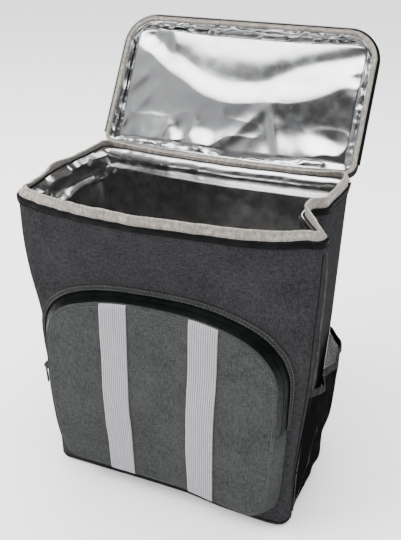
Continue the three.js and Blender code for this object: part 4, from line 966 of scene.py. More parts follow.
def makeElastics(panel, rimFlat, material):
    tree = BVHTree.FromObject(panel, bpy.context.evaluated_depsgraph_get())

    def frontOf(x, z):
        hit = tree.ray_cast(Vector((x * 0.001, -0.5, z * 0.001)), Vector((0, 1, 0)))[0]
        return hit.y * 1000 if hit else 1e9

    def edgesAt(x):
        # where the panel's outline lies below and above a place
        found = []
        for (x0, z0), (x1, z1) in zip(rimFlat, np.roll(rimFlat, -1, axis=0)):
            if (x0 - x) * (x1 - x) <= 0 and abs(x1 - x0) > 1e-6:
                found.append(z0 + (z1 - z0) * (x - x0) / (x1 - x0))
        return min(found), max(found)

    for name, middle in (("Left", elastic["left"]), ("Right", elastic["right"])):
        columns = elastic["ribs"] * 6 + 1
        xs = middle + np.linspace(-0.5, 0.5, columns) * elastic["width"]
        t = np.concatenate([np.linspace(0, 0.03, 5), np.linspace(0.045, 0.955, 70), np.linspace(0.97, 1, 5)])
        base = np.zeros((len(t), columns, 3))
        for c, x in enumerate(xs):
            low, high = edgesAt(x)
            for r, share in enumerate(t):
                z = mix(low + 1.2, high - 0.6, share)
                level = min(frontOf(x + step, z) for step in (0, -1.5, 1.5))
                base[r, c] = (x + 0.35 * math.sin(share * 9 + middle), level, z)
        rib = np.abs(np.sin(np.linspace(0, math.pi * elastic["ribs"], columns))) ** 0.6
        edge = np.minimum(1, np.minimum(np.arange(columns), columns - 1 - np.arange(columns)) / 4)
        tuck = np.minimum(1, np.minimum(t / 0.012, (1 - t) / 0.012))[:, None]
        lift = 0.35 + elastic["thick"] - elastic["rib"] * (1 - rib * edge) + softNoise(base, 26, 61) * 0.25
        outer, inner = base.copy(), base.copy()
        outer[..., 1] -= 0.3 + np.maximum(lift * np.sqrt(np.clip(tuck, 0.02, 1)), 0.1)
        inner[..., 1] -= 0.25
        parts = sheetParts(outer, inner)
        across = parts[0][2][..., 0]
        across *= elastic["width"] * 0.001 / across.max()  # so the woven ribs, with their painted shade in the grooves, fall on the raised ones
        makePiece(f"elastic{name}", parts, material, [f"elastic_{name.lower()}"], sharp=80)


# Side pockets of netting
netPocket = {
    "height": 184.0, "drop": 16.0, "foot": 10.0, "bulge": 20.0, "hem": 10.0, "hemThick": 1.5,
    "along": (-1, -0.75, -0.45, -0.1, 0.2, 0.55, 0.8, 1),
    "out": (0.0, 0.36, 0.72, 0.98, 1.0, 0.8, 0.42, 0.0),
    "ripple": (0.0, 0.06, -0.05, 0.07, -0.06, 0.06, -0.03, 0.0),
    "rise": ((0.0, 0.08, 0.2, 0.35, 0.55, 0.8, 1.0), (0.0, 0.5, 0.58, 0.62, 0.92, 1.0, 0.9)),
    "fold": 1.5, "gather": 0.25, "sewn": 0.07,  # the last share that is sewn down on the wall
}
hemStitch = {"length": 2.2, "space": 1.6, "thread": 0.3}


def makeNets(netting, hemCloth, thread):
    reach = body["depth"] / 2 - body["corner"]
    for side, sign, seed in (("right", 1, 71), ("left", -1, 75)):
        def hemFoot(along):
            return netPocket["height"] - netPocket["hem"] - netPocket["drop"] * (along + 1) / 2

        def point(along, height, z, off):
            out = readTable(netPocket["along"], netPocket["out"], along)
            out = out + readTable(netPocket["along"], netPocket["ripple"], along) * height
            wall = np.abs(wallPoint(side, along * reach, z)[..., 0])
            free = np.clip(out, 0, 0.6) / 0.6
            spots = np.stack([along * reach, height * 40, height * 0], axis=-1)
            fold = softNoise(spots * (1, 0.35, 1), 7.5, seed) * 0.8
            fold = fold + softNoise(spots * (1, 0.8, 1), 16, seed + 1)
            bulge = netPocket["bulge"] * out * readTable(*netPocket["rise"], height)
            sewn = smoothStep(0, netPocket["sewn"], 1 - np.abs(along))
            x = wall + 0.15 + (2 * body["seam"] + off) * sewn
            x = x + np.maximum(bulge + netPocket["fold"] * fold * free, 0)
            return np.stack([sign * x, along * reach, z], axis=-1)

        along, height = np.meshgrid(np.linspace(-1, 1, 90), np.linspace(0, 1, 84))
        z = mix(netPocket["foot"], hemFoot(along) - body["gap"], height)
        net = point(along, height, z, 0.5)
        name = side.capitalize()
        lengths = lengthsAlong(net, 1)[:, -1].mean(), lengthsAlong(net, 0)[-1].mean()
        parts = [gridPart(net)]
        cloth = makePiece(f"net{name}", parts, netting, [f"net_{side}"], sharp=180, close=False)
        along, part = np.meshgrid(np.linspace(-1, 1, 150), np.linspace(0, 1, 9))
        z = hemFoot(along) + part * netPocket["hem"]
        spots = np.stack([along * 50, part, part], axis=-1)
        gather = np.sin(along * 95 + 3 * softNoise(spots, 9, seed + 2)) * np.sin(part * math.pi)
        roundEnd = np.sqrt(np.clip(1 - np.abs(2 * part - 1) ** 5, 0, 1))
        thick = 0.4 + roundEnd * (netPocket["hemThick"] - 0.4) + gather * netPocket["gather"]
        top = np.ones_like(along)
        outer = point(along, top, z, thick)
        parts = sheetParts(outer, point(along, top, z, 0.1))
        hem = makePiece(f"netHem{name}", parts, hemCloth, [f"net_{side}_hem"])
        parts = stitchParts(outer[2] + (0.1 * sign, 0, 0), (sign, 0, 0), **hemStitch)
        makePiece(f"hemStitch{name}", parts, thread)
        print("net", name, "flat size", round(lengths[0]), "by", round(lengths[1]))


# Shoulder straps, webbing and carrying loop
strap = {
    "width": 60.0, "thick": 10.0, "web": 25.0, "webThick": 1.8, "lockThick": 4.0,
    "bar": 4.5, "slot": 6.0, "anchorHeight": 26.0, "anchorAcross": 112.0,
    "loopLength": 128.0, "loopStandOff": 30.0, "loopDrop": 33.0, "strapDrop": 17.0, "edge": 1.9,
    "height": (1.0, 0.953, 0.86, 0.744, 0.605, 0.477, 0.39, 0.355),
    "out": (0.0188, 0.085, 0.19, 0.28, 0.325, 0.31, 0.27, 0.25),
    "across": (0.15, 0.152, 0.158, 0.172, 0.2, 0.24, 0.272, 0.286),
    "wide": (0.92, 1.0, 1.0, 1.0, 0.98, 0.92, 0.8, 0.55),
    "fat": (0.62, 1.0, 1.0, 1.0, 1.0, 1.0, 0.9, 0.5),
    "quilt": 0.05, "channel": 0.34,  # depths of the quilting and of the sewn channel inside the edge
    # how the webbing goes round the lock's bar, and where its loose tail hangs: down and out
    "turn": ((1, -1), (-0.7, -0.9), (-2.6, -0.48), (-3, 0), (-2.6, 0.48), (-0.7, 0.9), (1, 1)),
    "tailPath": ((9.0, 1), (35.0, 4), (70.0, 14)),
    "tackHalf": (4.5, 10.0),
}
padStitch = {"length": 2.6, "space": 1.4, "thread": 0.36}
tackStitch = {"length": 2.0, "space": 0.9, "thread": 0.35}
outWay = np.array([0.0, 1.0, 0.0])


def ribbonParts(path, across, width, thick, rib=0.14):
    # flat webbing along a path, with its woven ridges
    s = np.linspace(-0.5, 0.5, 31)
    along = tangents(path)
    across = unit(np.broadcast_to(across, path.shape))
    normal = unit(np.cross(along, across))
    edge = np.sqrt(np.clip(1 - np.abs(2 * s) ** 14, 0.05, 1))
    half = thick / 2 * edge - rib * (1 - np.abs(np.cos(s * math.pi * 9)))
    face = path[:, None] + across[:, None] * (s * width)[None, :, None]
    lift = normal[:, None] * np.maximum(half, 0.1)[None, :, None]
    return sheetParts(face + lift, face - lift)


def makeStraps(padCloth, airMesh, webbing, edging, thread):
    loopHeight = body["height"] - strap["loopDrop"]
    strapTop = loopHeight - strap["strapDrop"]
    for side, sign in (("right", 1), ("left", -1)):
        xs, zs = sign * np.array(strap["across"]) * body["width"], np.array(strap["height"]) * strapTop
        back = wallPoint("back", xs, zs)[:, 1]
        line = np.stack([xs, back + np.array(strap["out"]) * body["depth"], zs], axis=-1)
        coarse = np.concatenate([line, np.array([strap["wide"], strap["fat"]]).T], axis=1)
        fine = smoothLine(coarse, 14)
        path, wide, fat = fine[:, :3], fine[:, 3] * strap["width"] / 2, fine[:, 4] * strap["thick"] / 2
        along = tangents(path)
        across = unit(np.cross(along, outWay))
        high = unit(np.cross(across, along))
        angle = np.arange(40) / 40 * 2 * math.pi
        a, b = np.cos(angle), np.sin(angle)
        a, b = np.sign(a) * np.abs(a) ** 0.75, np.sign(b) * np.abs(b) ** 0.6
        steps = lengthsAlong(path)
        end = np.sqrt(np.clip(np.minimum(steps, steps[-1] - steps) / 7, 0.12, 1))
        crown = 1 + strap["quilt"] * np.sin(steps / 14)[:, None]
        flatten = 1 - strap["channel"] * np.exp(-((np.abs(a)[None] - 0.86) / 0.07) ** 2)
        points = path[:, None] + across[:, None] * (a[None] * (wide * 0.965)[:, None])[..., None]
        points = points + high[:, None] * (b[None] * (fat * end)[:, None] * crown * flatten)[..., None]
        points = points + high[:, None] * (softNoise(points, 22, 81) * 0.5 * np.sign(b)[None])[..., None]
        name = side.capitalize()
        parts = closedParts(points)
        pad = makePiece(f"strap{name}", parts, padCloth, [f"strap_{side}"], sharp=180)
        pad.data.materials.append(airMesh)
        for face in pad.data.polygons:
            if face.normal.y < -0.35:
                face.material_index = 1
        for k, edgeSign in enumerate((-1, 1)):
            edgeLine = path + across * (wide * edgeSign * 0.985)[:, None]
            parts = tubeParts(edgeLine[1:-1], strap["edge"], 10, flat=1.25)
            makePiece(f"strapEdge{name}{k}", parts, edging)
            seamLine = path + across * (wide * edgeSign * 0.83)[:, None] + high * (fat * end * 0.74)[:, None]
            parts = stitchParts(seamLine[3:-3], high[3:-3], **padStitch)
            makePiece(f"strapStitch{name}{k}", parts, thread)

        down = unit(line[-1] - line[-2])
        over = unit(np.cross(down, outWay))
        out = unit(np.cross(over, down))
        lockLength = 3 * strap["bar"] + 2 * strap["slot"]
        middle = line[-1] + down * (lockLength / 2 + body["gap"])
        off = strap["lockThick"] / 2 + body["seam"] + strap["webThick"] / 2
        bar = lockLength / 2 - strap["bar"]

        def on(d, n):
            return middle + down * d + out * n

        anchorOut = body["depth"] / 2 * 1.01 + body["seam"] + strap["webThick"]
        anchor = np.array([sign * strap["anchorAcross"], anchorOut, strap["anchorHeight"]])
        rear = on(bar + 3 * strap["bar"], -off)
        end = anchor + np.array([sign * 3, 0, -13])
        turn = [on(bar + d, off * n) for d, n in strap["turn"]]
        tail = [on(bar + d, off + n) for d, n in strap["tailPath"]]
        webPath = smoothLine([end, anchor, mix(rear, anchor, 0.5), rear, *turn, *tail], 6)
        parts = ribbonParts(webPath, over, strap["web"], strap["webThick"])
        makePiece(f"web{name}", parts, webbing, [f"web_{side}"])

    shares = np.array([-1, -0.82, -0.66, -0.36, 0, 0.36, 0.66, 0.82, 1])
    x = shares * strap["loopLength"] / 2
    levels = [loopHeight + part * strap["web"] for part in (-0.5, 0, 0.5)]
    wall = np.max([wallPoint("back", x, level)[:, 1] for level in levels], axis=0)
    wall = wall + body["seam"] + strap["webThick"] / 2
    y = wall + strap["loopStandOff"] * np.maximum(0, 1 - (np.abs(shares) / 0.82) ** 3)
    path = smoothLine(np.stack([x, y, x * 0 + loopHeight], axis=-1), 8)
    path[:, 1] = np.maximum(path[:, 1], np.interp(path[:, 0], x, wall))
    parts = ribbonParts(path, up, strap["web"], strap["webThick"])
    makePiece("carryLoop", parts, webbing, ["carry_loop"])
    for k, sign in enumerate((-1, 1)):
        spot = np.array([sign * strap["loopLength"] * 0.455, 0, loopHeight])
        y = float(wallPoint("back", spot[0], spot[2])[1]) + body["seam"] * 2 + strap["webThick"] * 1.5 + 0.4
        # a sewn box with a cross in it
        corners = [(-1, -1), (1, -1), (1, 1), (-1, 1), (-1, -1), (1, 1), (1, -1), (-1, 1)]
        wide, high = strap["tackHalf"]
        box = np.array([(spot[0] + wide * a, y, spot[2] + high * b) for a, b in corners])
        makePiece(f"loopTack{k}", stitchParts(smoothLine(box, 4), outWay, **tackStitch), thread)


# Zip sliders with their pulls
slider = {
    "length": 11.0, "width": 8.0, "pull": 25.0, "pullWidth": 5.5, "pullThick": 1.6, "bail": 0.75,
    # heights over the seat, with the outline's share at each
    "levels": (
        (0.0, 0.86), (0.15, 0.98), (0.4, 1.0), (1.1, 1.0), (1.4, 0.93), (1.6, 0.8),
        (2.1, 0.78), (2.4, 0.9), (2.7, 0.94), (3.1, 0.92), (3.4, 0.82), (3.5, 0.6),
    ),
    "bailPath": ((3.2, 3.1), (3.0, 4.4), (1.2, 5.2), (-1.2, 5.2), (-2.6, 4.2), (-2.8, 3.1)),
}


def blockParts(seat, across, high, outline, levels):
    # a body with a rounded outline, in levels of height and share of its outline
    out = unit(np.cross(across, high))
    rows = [[seat + across * x * s + high * y * s + out * level for x, y in outline] for level, s in levels]
    return closedParts(rows)


def roundedOutline(w, l, power=4.0, waist=0.0, count=40):
    angle = np.arange(count) / count * 2 * math.pi
    x, y = np.cos(angle), np.sin(angle)
    x, y = np.sign(x) * np.abs(x) ** (2 / power), np.sign(y) * np.abs(y) ** (2 / power)
    return [(a * w / 2 * (1 - waist * (1 - b * b)), b * l / 2) for a, b in zip(x, y)]


def makeSliders(foot, rim, footFlat, plastic, coating):
    index = [k for k in range(len(footFlat)) if footFlat[k, 0] < 0 and footFlat[k, 1] >= pocket["slider"]][-1]
    upper, lower = footFlat[index, 1], footFlat[index + 1, 1]
    t = (upper - pocket["slider"]) / (upper - lower)
    here, there = mix(foot[index], foot[index + 1], t), mix(rim[index], rim[index + 1], t)
    out = unit(np.cross(there - here, up))
    out = out * (-1 if out[0] > 0 else 1)
    seat = mix(here, there, 0.5) + out * body["seam"]
    across = unit(np.cross(up, out))
    bodyOutline = roundedOutline(slider["width"], slider["length"], 3.2, 0.16)
    parts = blockParts(seat, across, up, bodyOutline, slider["levels"])
    makePiece("pocketSlider", parts, coating, ["pocket_slider"])
    bail = smoothLine([seat + up * y + out * z for y, z in slider["bailPath"]], 5)
    makePiece("pocketBail", tubeParts(bail, slider["bail"], 8, lean=across), coating)
    lowEnd = index + 1
    while mix(foot[lowEnd], rim[lowEnd], 0.5)[2] > seat[2] - slider["pull"]:
        lowEnd += 1
    hang = unit(seat - (mix(foot[lowEnd], rim[lowEnd], 0.5) + out * body["seam"]))
    pullSeat = seat + out * 3.0 - hang * (slider["pull"] / 2 - 1.5)
    t = slider["pullThick"]
    levels = [(0.0, 0.9), (0.1, 0.97), (0.35, 1.0), (t - 0.35, 1.0), (t - 0.1, 0.97), (t, 0.9)]
    levels += [(t - 0.15, 0.8), (t - 0.2, 0.6)]  # the pull's face is sunk
    outline = roundedOutline(slider["pullWidth"], slider["pull"], 3.6, 0.2)
    parts = blockParts(pullSeat, across, hang, outline, levels)
    makePiece("pocketPull", parts, plastic, ["pocket_pull"])

    y = 0.82 * (body["depth"] / 2 - body["corner"])
    middle = (tapeFoot + teethFoot) / 2
    x = float(wallPoint("left", y, middle)[0]) - 3 * body["seam"] - body["teeth"]
    parts = blockParts(np.array([x, y, middle]), up, outWay, bodyOutline, slider["levels"])
    makePiece("mouthSlider", parts, coating, ["mouth_slider"])


# Sewn seams of the body: the dark lines at the front's ends, the piping beside them in a lighter grey that is
# partly a painted highlight, and a dark bead round the foot that is painted shade
seams = {
    "pipingY": -72.0, "backInset": 16.0, "footHeight": 6.5,
    "line": 0.75, "piping": 1.35, "backPiping": 1.3, "footPiping": 0.8,
}


def makeSeams(piping, dark):
    z = np.linspace(5, body["height"] - 14, 120)
    whole, share = bodyGrid(bodyPlaces, z), bodyPlaces["share"]
    out = gridNormal(whole)
    for name, side, after, least in (("Right", "front", "right", 0.7), ("Left", "left", "front", 0.25)):
        atCorner = (bodyPlaces["side"] == side) & (bodyPlaces["next"] == after)
        column = int(np.argmax(atCorner & (share > least)))
        line = whole[:, column] + out[:, column] * 0.15
        makePiece(f"seamFront{name}", tubeParts(line, seams["line"], 8), dark)
        # the piping's lighter grey is a painted highlight for the light line where the side wall bends near the
        # front
        line = wallPoint(name.lower(), seams["pipingY"], z, 0.4)
        makePiece(f"piping{name}", tubeParts(line, seams["piping"], 10), piping)
    for k, sign in enumerate((-1, 1)):
        line = wallPoint("back", sign * (body["width"] / 2 - seams["backInset"]), z, 0.3)
        makePiece(f"pipingBack{k}", tubeParts(line, seams["backPiping"], 10), dark)
    # a thin dark bead round the foot: painted shade for the shadow edge along the base
    ring = bodyGrid(bodyPlaces, [seams["footHeight"]])
    line = (ring + gridNormal(ring) * 0.1)[0]
    makePiece("footPiping", tubeParts(line, seams["footPiping"], 8, True), dark)


# Node groups that several materials share
def newGroup(name, numbers, outputs):
    # a group that takes a place and some numbers, and gives numbers
    tree = bpy.data.node_groups.new(name, "ShaderNodeTree")
    tree.interface.new_socket("Vector", in_out="INPUT", socket_type="NodeSocketVector")
    for label, value in numbers.items():
        socket = tree.interface.new_socket(label, in_out="INPUT", socket_type="NodeSocketFloat")
        socket.default_value = value
    for label in outputs:
        tree.interface.new_socket(label, in_out="OUTPUT", socket_type="NodeSocketFloat")
    return tree, tree.nodes.new("NodeGroupInput"), tree.nodes.new("NodeGroupOutput")


def scaled(tree, source, scale):
    return addNode(tree, "ShaderNodeVectorMath", {0: source, 1: scale}, operation="MULTIPLY").outputs[0]


def noiseOf(tree, source, scale, detail=3.0, rough=0.55, twist=0.0):
    values = {"Vector": source, "Scale": scale, "Detail": detail, "Roughness": rough, "Distortion": twist}
    return addNode(tree, "ShaderNodeTexNoise", values).outputs[0]


def mathOf(tree, operation, a, b=0.0, c=0.0):
    return addNode(tree, "ShaderNodeMath", {0: a, 1: b, 2: c}, operation=operation).outputs[0]


def weighted(tree, a, shareA, b, shareB):
    return mathOf(tree, "MULTIPLY_ADD", a, shareA, mathOf(tree, "MULTIPLY", b, shareB))


def rampOf(tree, value, low, high, start=0.0, end=1.0):
    values = {0: value, 1: low, 2: high, 3: start, 4: end}
    return addNode(tree, "ShaderNodeMapRange", values, interpolation_type="SMOOTHSTEP").outputs[0]


def waveOf(tree, where, way):
    values = {"Vector": where, "Scale": 480.0, "Distortion": 1.2, "Detail": 1.0}
    return addNode(tree, "ShaderNodeTexWave", values, bands_direction=way).outputs["Fac"]


def makeHeatherGroup():
    # marled yarn: upright and level streaks of light and dark thread, with the woven grain under them
    tree, source, result = newGroup("heatherYarn", {"Streak": 1.0}, ("Light", "Height"))
    where = source.outputs["Vector"]
    upright = noiseOf(tree, scaled(tree, where, (1500, 1500, 170)), 1.0, 2.0, 0.65)
    level = noiseOf(tree, scaled(tree, where, (200, 200, 1500)), 1.0, 2.0, 0.65)
    patch = noiseOf(tree, where, 26.0, 4.0, 0.6)
    both = weighted(tree, upright, 0.55, level, 0.45)
    streaks = rampOf(tree, both, 0.34, 0.68)
    grain = mathOf(tree, "MULTIPLY", waveOf(tree, where, "Z"), waveOf(tree, where, "X"))
    tree.links.new(weighted(tree, patch, 0.5, streaks, source.outputs["Streak"]), result.inputs["Light"])
    tree.links.new(weighted(tree, grain, 0.5, both, 0.6), result.inputs["Height"])
    return tree


def makeFoilGroup():
    # film that was crumpled and smoothed out: fine sharp creases, with a cloudy finish between them
    tree, source, result = newGroup("creasedFilm", {"Scale": 60.0}, ("Height", "Cloud"))
    where = source.outputs["Vector"]
    bent = addNode(tree, "ShaderNodeTexNoise", {"Vector": where, "Scale": 18.0, "Detail": 2.0})
    values = {0: bent.outputs["Color"], 1: (0.02, 0.02, 0.02), 2: where}
    moved = addNode(tree, "ShaderNodeVectorMath", values, operation="MULTIPLY_ADD").outputs[0]
    values = {"Vector": moved, "Scale": source.outputs["Scale"]}
    cells = addNode(tree, "ShaderNodeTexVoronoi", values, feature="DISTANCE_TO_EDGE")
    crease = rampOf(tree, cells.outputs["Distance"], 0.0, 0.16)
    fine = noiseOf(tree, where, 420.0, 4.0, 0.65)
    broad = noiseOf(tree, where, 38.0, 3.0, 0.5, 1.0)
    high = mathOf(tree, "MULTIPLY_ADD", crease, 0.3, weighted(tree, fine, 0.22, broad, 0.8))
    tree.links.new(high, result.inputs["Height"])
    tree.links.new(noiseOf(tree, where, 70.0, 5.0, 0.6), result.inputs["Cloud"])
    return tree


def makeRibGroup():
    # ribs along one direction of the metric UVs, with the cross threads of a woven band; the colour share is
    # lighter on the ribs and darker in their grooves, which is painted shade
    tree, source, result = newGroup("wovenRib", {"Ribs": 200.0, "Picks": 900.0}, ("PaintedRibShade", "Height"))
    split = addNode(tree, "ShaderNodeSeparateXYZ", {0: source.outputs["Vector"]})
    rib = mathOf(tree, "COSINE", mathOf(tree, "MULTIPLY", split.outputs[0], source.outputs["Ribs"]))
    rib = mathOf(tree, "MULTIPLY", rib, -1.0)
    pick = mathOf(tree, "SINE", mathOf(tree, "MULTIPLY", split.outputs[1], source.outputs["Picks"]))
    height = mathOf(tree, "MULTIPLY_ADD", rib, 0.35, mathOf(tree, "MULTIPLY_ADD", pick, 0.15, 0.5))
    tree.links.new(mathOf(tree, "MULTIPLY_ADD", rib, 0.5, 0.5), result.inputs["PaintedRibShade"])
    tree.links.new(height, result.inputs["Height"])
    return tree


def makeTwillGroup():
    # diagonal ridges of a twill tape, worn and dusty in patches
    tree, source, result = newGroup("twillTape", {"Ridges": 2200.0}, ("Ridge", "Soil"))
    split = addNode(tree, "ShaderNodeSeparateXYZ", {0: source.outputs["Vector"]})
    slope = weighted(tree, split.outputs[0], 1.0, split.outputs[1], 0.7)
    ridge = mathOf(tree, "SINE", mathOf(tree, "MULTIPLY", slope, source.outputs["Ridges"]))
    tree.links.new(mathOf(tree, "MULTIPLY_ADD", ridge, 0.5, 0.5), result.inputs["Ridge"])
    soil = noiseOf(tree, scaled(tree, source.outputs["Vector"], (1.0, 0.6, 1.0)), 210.0, 4.0, 0.7)
    tree.links.new(rampOf(tree, soil, 0.35, 0.7), result.inputs["Soil"])
    return tree


def makeNetGroup():
    # knitted netting: staggered round holes
    tree, source, result = newGroup("knittedNet", {"Pitch": 0.0021, "Thread": 0.36}, ("Cover", "Height"))
    split = addNode(tree, "ShaderNodeSeparateXYZ", {0: source.outputs["Vector"]})
    pitch = source.outputs["Pitch"]
    row = mathOf(tree, "DIVIDE", split.outputs[1], mathOf(tree, "MULTIPLY", pitch, 0.86))
    odd = mathOf(tree, "MULTIPLY", mathOf(tree, "MODULO", mathOf(tree, "FLOOR", row), 2.0), 0.5)
    column = mathOf(tree, "ADD", mathOf(tree, "DIVIDE", split.outputs[0], pitch), odd)
    dx, dy = (mathOf(tree, "SUBTRACT", mathOf(tree, "FRACT", cell), 0.5) for cell in (column, row))
    squares = mathOf(tree, "ADD", mathOf(tree, "MULTIPLY", dx, dx), mathOf(tree, "MULTIPLY", dy, dy))
    distance = mathOf(tree, "SQRT", squares)
    cover = rampOf(tree, mathOf(tree, "SUBTRACT", distance, source.outputs["Thread"]), -0.05, 0.05)
    tree.links.new(cover, result.inputs["Cover"])
    tree.links.new(distance, result.inputs["Height"])
    return tree


heatherGroup, foilGroup, ribGroup = makeHeatherGroup(), makeFoilGroup(), makeRibGroup()
twillGroup, netGroup = makeTwillGroup(), makeNetGroup()
print("node groups made")


def newMaterial(name, roughness, metallic=0.0, sheen=0.0, specular=0.5):
    material = bpy.data.materials.new(name)
    material.use_nodes = True
    tree = material.node_tree
    shader = tree.nodes["Principled BSDF"]
    shader.inputs["Roughness"].default_value = roughness
    shader.inputs["Metallic"].default_value = metallic
    shader.inputs["Specular IOR Level"].default_value = specular
    if sheen:
        shader.inputs["Sheen Weight"].default_value = sheen
        shader.inputs["Sheen Roughness"].default_value = 0.5
    return material, tree, shader


def placeGroup(tree, group, values):
    return addNode(tree, "ShaderNodeGroup", values, node_tree=group)


def twoColours(tree, shader, fac, dark, light):
    tree.links.new(blendOf(tree, fac, (*dark, 1), (*light, 1)), shader.inputs["Base Color"])


def bumpFrom(tree, shader, height, strength, distance):
    bump = addNode(tree, "ShaderNodeBump", {"Height": height, "Strength": strength, "Distance": distance})
    tree.links.new(bump.outputs[0], shader.inputs["Normal"])


def coordinates(tree, kind):
    return addNode(tree, "ShaderNodeTexCoord").outputs[kind]


def heatherCloth(name, dark, light, streak=0.75, roughness=0.86, bump=0.35):
    material, tree, shader = newMaterial(name, roughness, specular=0.0)
    yarn = placeGroup(tree, heatherGroup, {"Vector": coordinates(tree, "Object"), "Streak": streak})
    twoColours(tree, shader, yarn.outputs["Light"], dark, light)
    bumpFrom(tree, shader, yarn.outputs["Height"], bump, 0.0006)
    return material


def foilFilm(name, tint, roughness=0.2, scale=60.0, bump=0.6, distance=0.0012):
    material, tree, shader = newMaterial(name, roughness, metallic=1.0)
    film = placeGroup(tree, foilGroup, {"Vector": coordinates(tree, "Object"), "Scale": scale})
    cloud = film.outputs["Cloud"]
    twoColours(tree, shader, cloud, tuple(c * 0.9 for c in tint), tuple(min(c * 1.06, 1) for c in tint))
    dull = rampOf(tree, cloud, 0.2, 0.8, roughness - 0.05, roughness + 0.1)
    tree.links.new(dull, shader.inputs["Roughness"])
    bumpFrom(tree, shader, film.outputs["Height"], bump, distance)
    return material


def twillBinding(name, dark, light, ridges=2400.0):
    material, tree, shader = newMaterial(name, 0.92, sheen=0.2, specular=0.2)
    tape = placeGroup(tree, twillGroup, {"Vector": coordinates(tree, "UV"), "Ridges": ridges})
    fac = weighted(tree, tape.outputs["Ridge"], 0.35, tape.outputs["Soil"], 0.65)
    twoColours(tree, shader, fac, dark, light)
    fuzz = noiseOf(tree, coordinates(tree, "Object"), 900.0, 2.0)
    bumpFrom(tree, shader, mathOf(tree, "MULTIPLY_ADD", tape.outputs["Ridge"], 0.6, fuzz), 0.5, 0.0006)
    return material


def plainCloth(name, dark, light, roughness=0.7, grain=1100.0, bump=0.25, specular=0.4):
    material, tree, shader = newMaterial(name, roughness, specular=specular)
    where = coordinates(tree, "Object")
    tone = rampOf(tree, noiseOf(tree, where, 60.0, 5.0, 0.65), 0.3, 0.75)
    twoColours(tree, shader, tone, dark, light)
    dull = rampOf(tree, noiseOf(tree, where, 130.0, 3.0), 0.3, 0.7, roughness - 0.07, roughness + 0.08)
    tree.links.new(dull, shader.inputs["Roughness"])
    bumpFrom(tree, shader, noiseOf(tree, where, grain, 3.0, 0.6), bump, 0.0003)
    return material


def ribbedBand(name, dark, light, ribs, picks, bump=0.4):
    material, tree, shader = newMaterial(name, 0.85, specular=0.12)
    band = placeGroup(tree, ribGroup, {"Vector": coordinates(tree, "UV"), "Ribs": ribs, "Picks": picks})
    tone = noiseOf(tree, scaled(tree, coordinates(tree, "Object"), (1, 1, 0.3)), 160.0, 3.0)
    # lighter on the ribs and darker in the grooves between them: painted shade, mixed with random tone
    fac = weighted(tree, band.outputs["PaintedRibShade"], 0.6, tone, 0.4)
    twoColours(tree, shader, fac, dark, light)
    bumpFrom(tree, shader, band.outputs["Height"], bump, 0.0005)
    return material


def netCloth(name, dark, light):
    material, tree, shader = newMaterial(name, 0.9, specular=0.0)
    net = placeGroup(tree, netGroup, {"Vector": coordinates(tree, "UV"), "Pitch": 0.0013, "Thread": 0.12})
    twoColours(tree, shader, net.outputs["Height"], dark, light)
    tree.links.new(net.outputs["Cover"], shader.inputs["Alpha"])
    return material


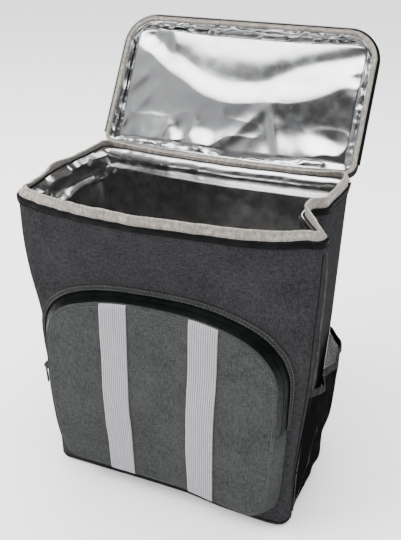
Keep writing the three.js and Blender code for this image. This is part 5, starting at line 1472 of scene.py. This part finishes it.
elasticRibs = 2 * math.pi * elastic["ribs"] / elastic["width"] * 1000
webbingRibs = 2 * math.pi / 0.0028
finishes = {
    "bodyCloth": heatherCloth("bodyCloth", (0.004, 0.004, 0.0045), (0.036, 0.0365, 0.0385), 0.7),
    "panelCloth": heatherCloth("panelCloth", (0.009, 0.0092, 0.0093), (0.056, 0.0585, 0.0585), 0.66),
    # the body's cloth a little lighter: a painted highlight on the raised fold outside the pocket's zip
    "foldClothPaintedHighlight": heatherCloth("foldClothPaintedHighlight", (0.005, 0.0055, 0.005), (0.040, 0.042, 0.040), 0.6),
    "foil": foilFilm("linerFoil", (0.78, 0.775, 0.77), 0.17, 60.0, 0.03, 0.0008),
    "lidFoil": foilFilm("lidFoil", (0.87, 0.875, 0.88), 0.14, 45.0, 0.035, 0.0008),
    "twill": twillBinding("greigeTwill", (0.10, 0.089, 0.078), (0.33, 0.305, 0.275)),
    "tape": plainCloth("coatedTape", (0.0015, 0.0016, 0.0018), (0.004, 0.0042, 0.0045), 0.7, specular=0.06),
    "rubber": plainCloth("rubberTape", (0.0018, 0.0024, 0.0023), (0.004, 0.005, 0.0048), 0.5, 700.0, 0.12, 0.07),
    "coil": plainCloth("zipCoil", (0.002, 0.002, 0.0025), (0.007, 0.0075, 0.008), 0.6, 1400.0, 0.1, 0.07),
    "elastic": ribbedBand("paleElastic", (0.18, 0.172, 0.186), (0.34, 0.325, 0.35), elasticRibs, 4200.0, 0.2),
    "net": netCloth("blackNet", (0.002, 0.002, 0.0022), (0.006, 0.006, 0.0065)),
    "hem": ribbedBand("netHem", (0.004, 0.004, 0.005), (0.02, 0.02, 0.022), 700.0, 3600.0, 0.5),
    "strapPad": heatherCloth("strapPad", (0.006, 0.006, 0.007), (0.03, 0.031, 0.033), 0.5),
    "airMesh": plainCloth("airMesh", (0.004, 0.004, 0.0045), (0.016, 0.0165, 0.0175), 0.9, 520.0, 0.9, 0.2),
    "webbing": ribbedBand("blackWebbing", (0.004, 0.004, 0.0045), (0.02, 0.02, 0.022), webbingRibs, 3400.0, 0.5),
    "plastic": plainCloth("mouldedPlastic", (0.004, 0.004, 0.0045), (0.008, 0.008, 0.009), 0.36, 1600.0, 0.08),
    "paint": plainCloth("paintedMetal", (0.006, 0.006, 0.0065), (0.014, 0.014, 0.015), 0.3, 900.0, 0.08),
    # dark seam lines; the same dark colour is painted shade on the bead round the foot
    "darkSeamAndPaintedShade": plainCloth("darkSeamAndPaintedShade", (0.002, 0.002, 0.0025), (0.006, 0.006, 0.007), 0.85, specular=0.2),
    # piping lighter than the body's cloth: a painted highlight along the bend near the front
    "greyPipingPaintedHighlight": plainCloth("greyPipingPaintedHighlight", (0.022, 0.0222, 0.0214), (0.06, 0.0585, 0.055), 0.9, specular=0.08),
    "paleThread": plainCloth("paleThread", (0.13, 0.118, 0.10), (0.23, 0.21, 0.18), 0.7, 2000.0, 0.3),
    "greyThread": plainCloth("greyThread", (0.03, 0.032, 0.031), (0.075, 0.078, 0.075), 0.7, 2000.0, 0.3),
    "blackThread": plainCloth("blackThread", (0.005, 0.005, 0.0055), (0.014, 0.014, 0.015), 0.7, 2000.0, 0.3),
}
print("materials made")

makeBodyShell(finishes["bodyCloth"])
makeFoilLiner(finishes["foil"])
makeMouthTrim(*(finishes[key] for key in ("tape", "coil", "twill", "paleThread")))
print("body and mouth made")
makeLid(*(finishes[key] for key in ("bodyCloth", "lidFoil", "twill", "tape", "coil", "paleThread")))
print("lid made")
panel, pocketFoot, pocketRim, footFlat, rimFlat = makePocket(
    *(finishes[key] for key in ("panelCloth", "rubber", "coil", "foldClothPaintedHighlight", "greyThread")),
)
makeElastics(panel, rimFlat, finishes["elastic"])
makeSliders(pocketFoot, pocketRim, footFlat, finishes["plastic"], finishes["paint"])
print("pocket made")
makeNets(*(finishes[key] for key in ("net", "hem", "blackThread")))
makeStraps(*(finishes[key] for key in ("strapPad", "airMesh", "webbing", "hem", "greyThread")))
makeSeams(finishes["greyPipingPaintedHighlight"], finishes["darkSeamAndPaintedShade"])
print("nets, straps and seams made")

# the ladder locks keep their hard shape from the solids, in moulded plastic
for lockName in ("lock_right", "lock_left"):
    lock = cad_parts[lockName]
    lock = lock if isinstance(lock, bpy.types.Object) else bpy.data.objects[lockName]
    for lockSlot in lock.material_slots:
        lockSlot.material = finishes["plastic"]
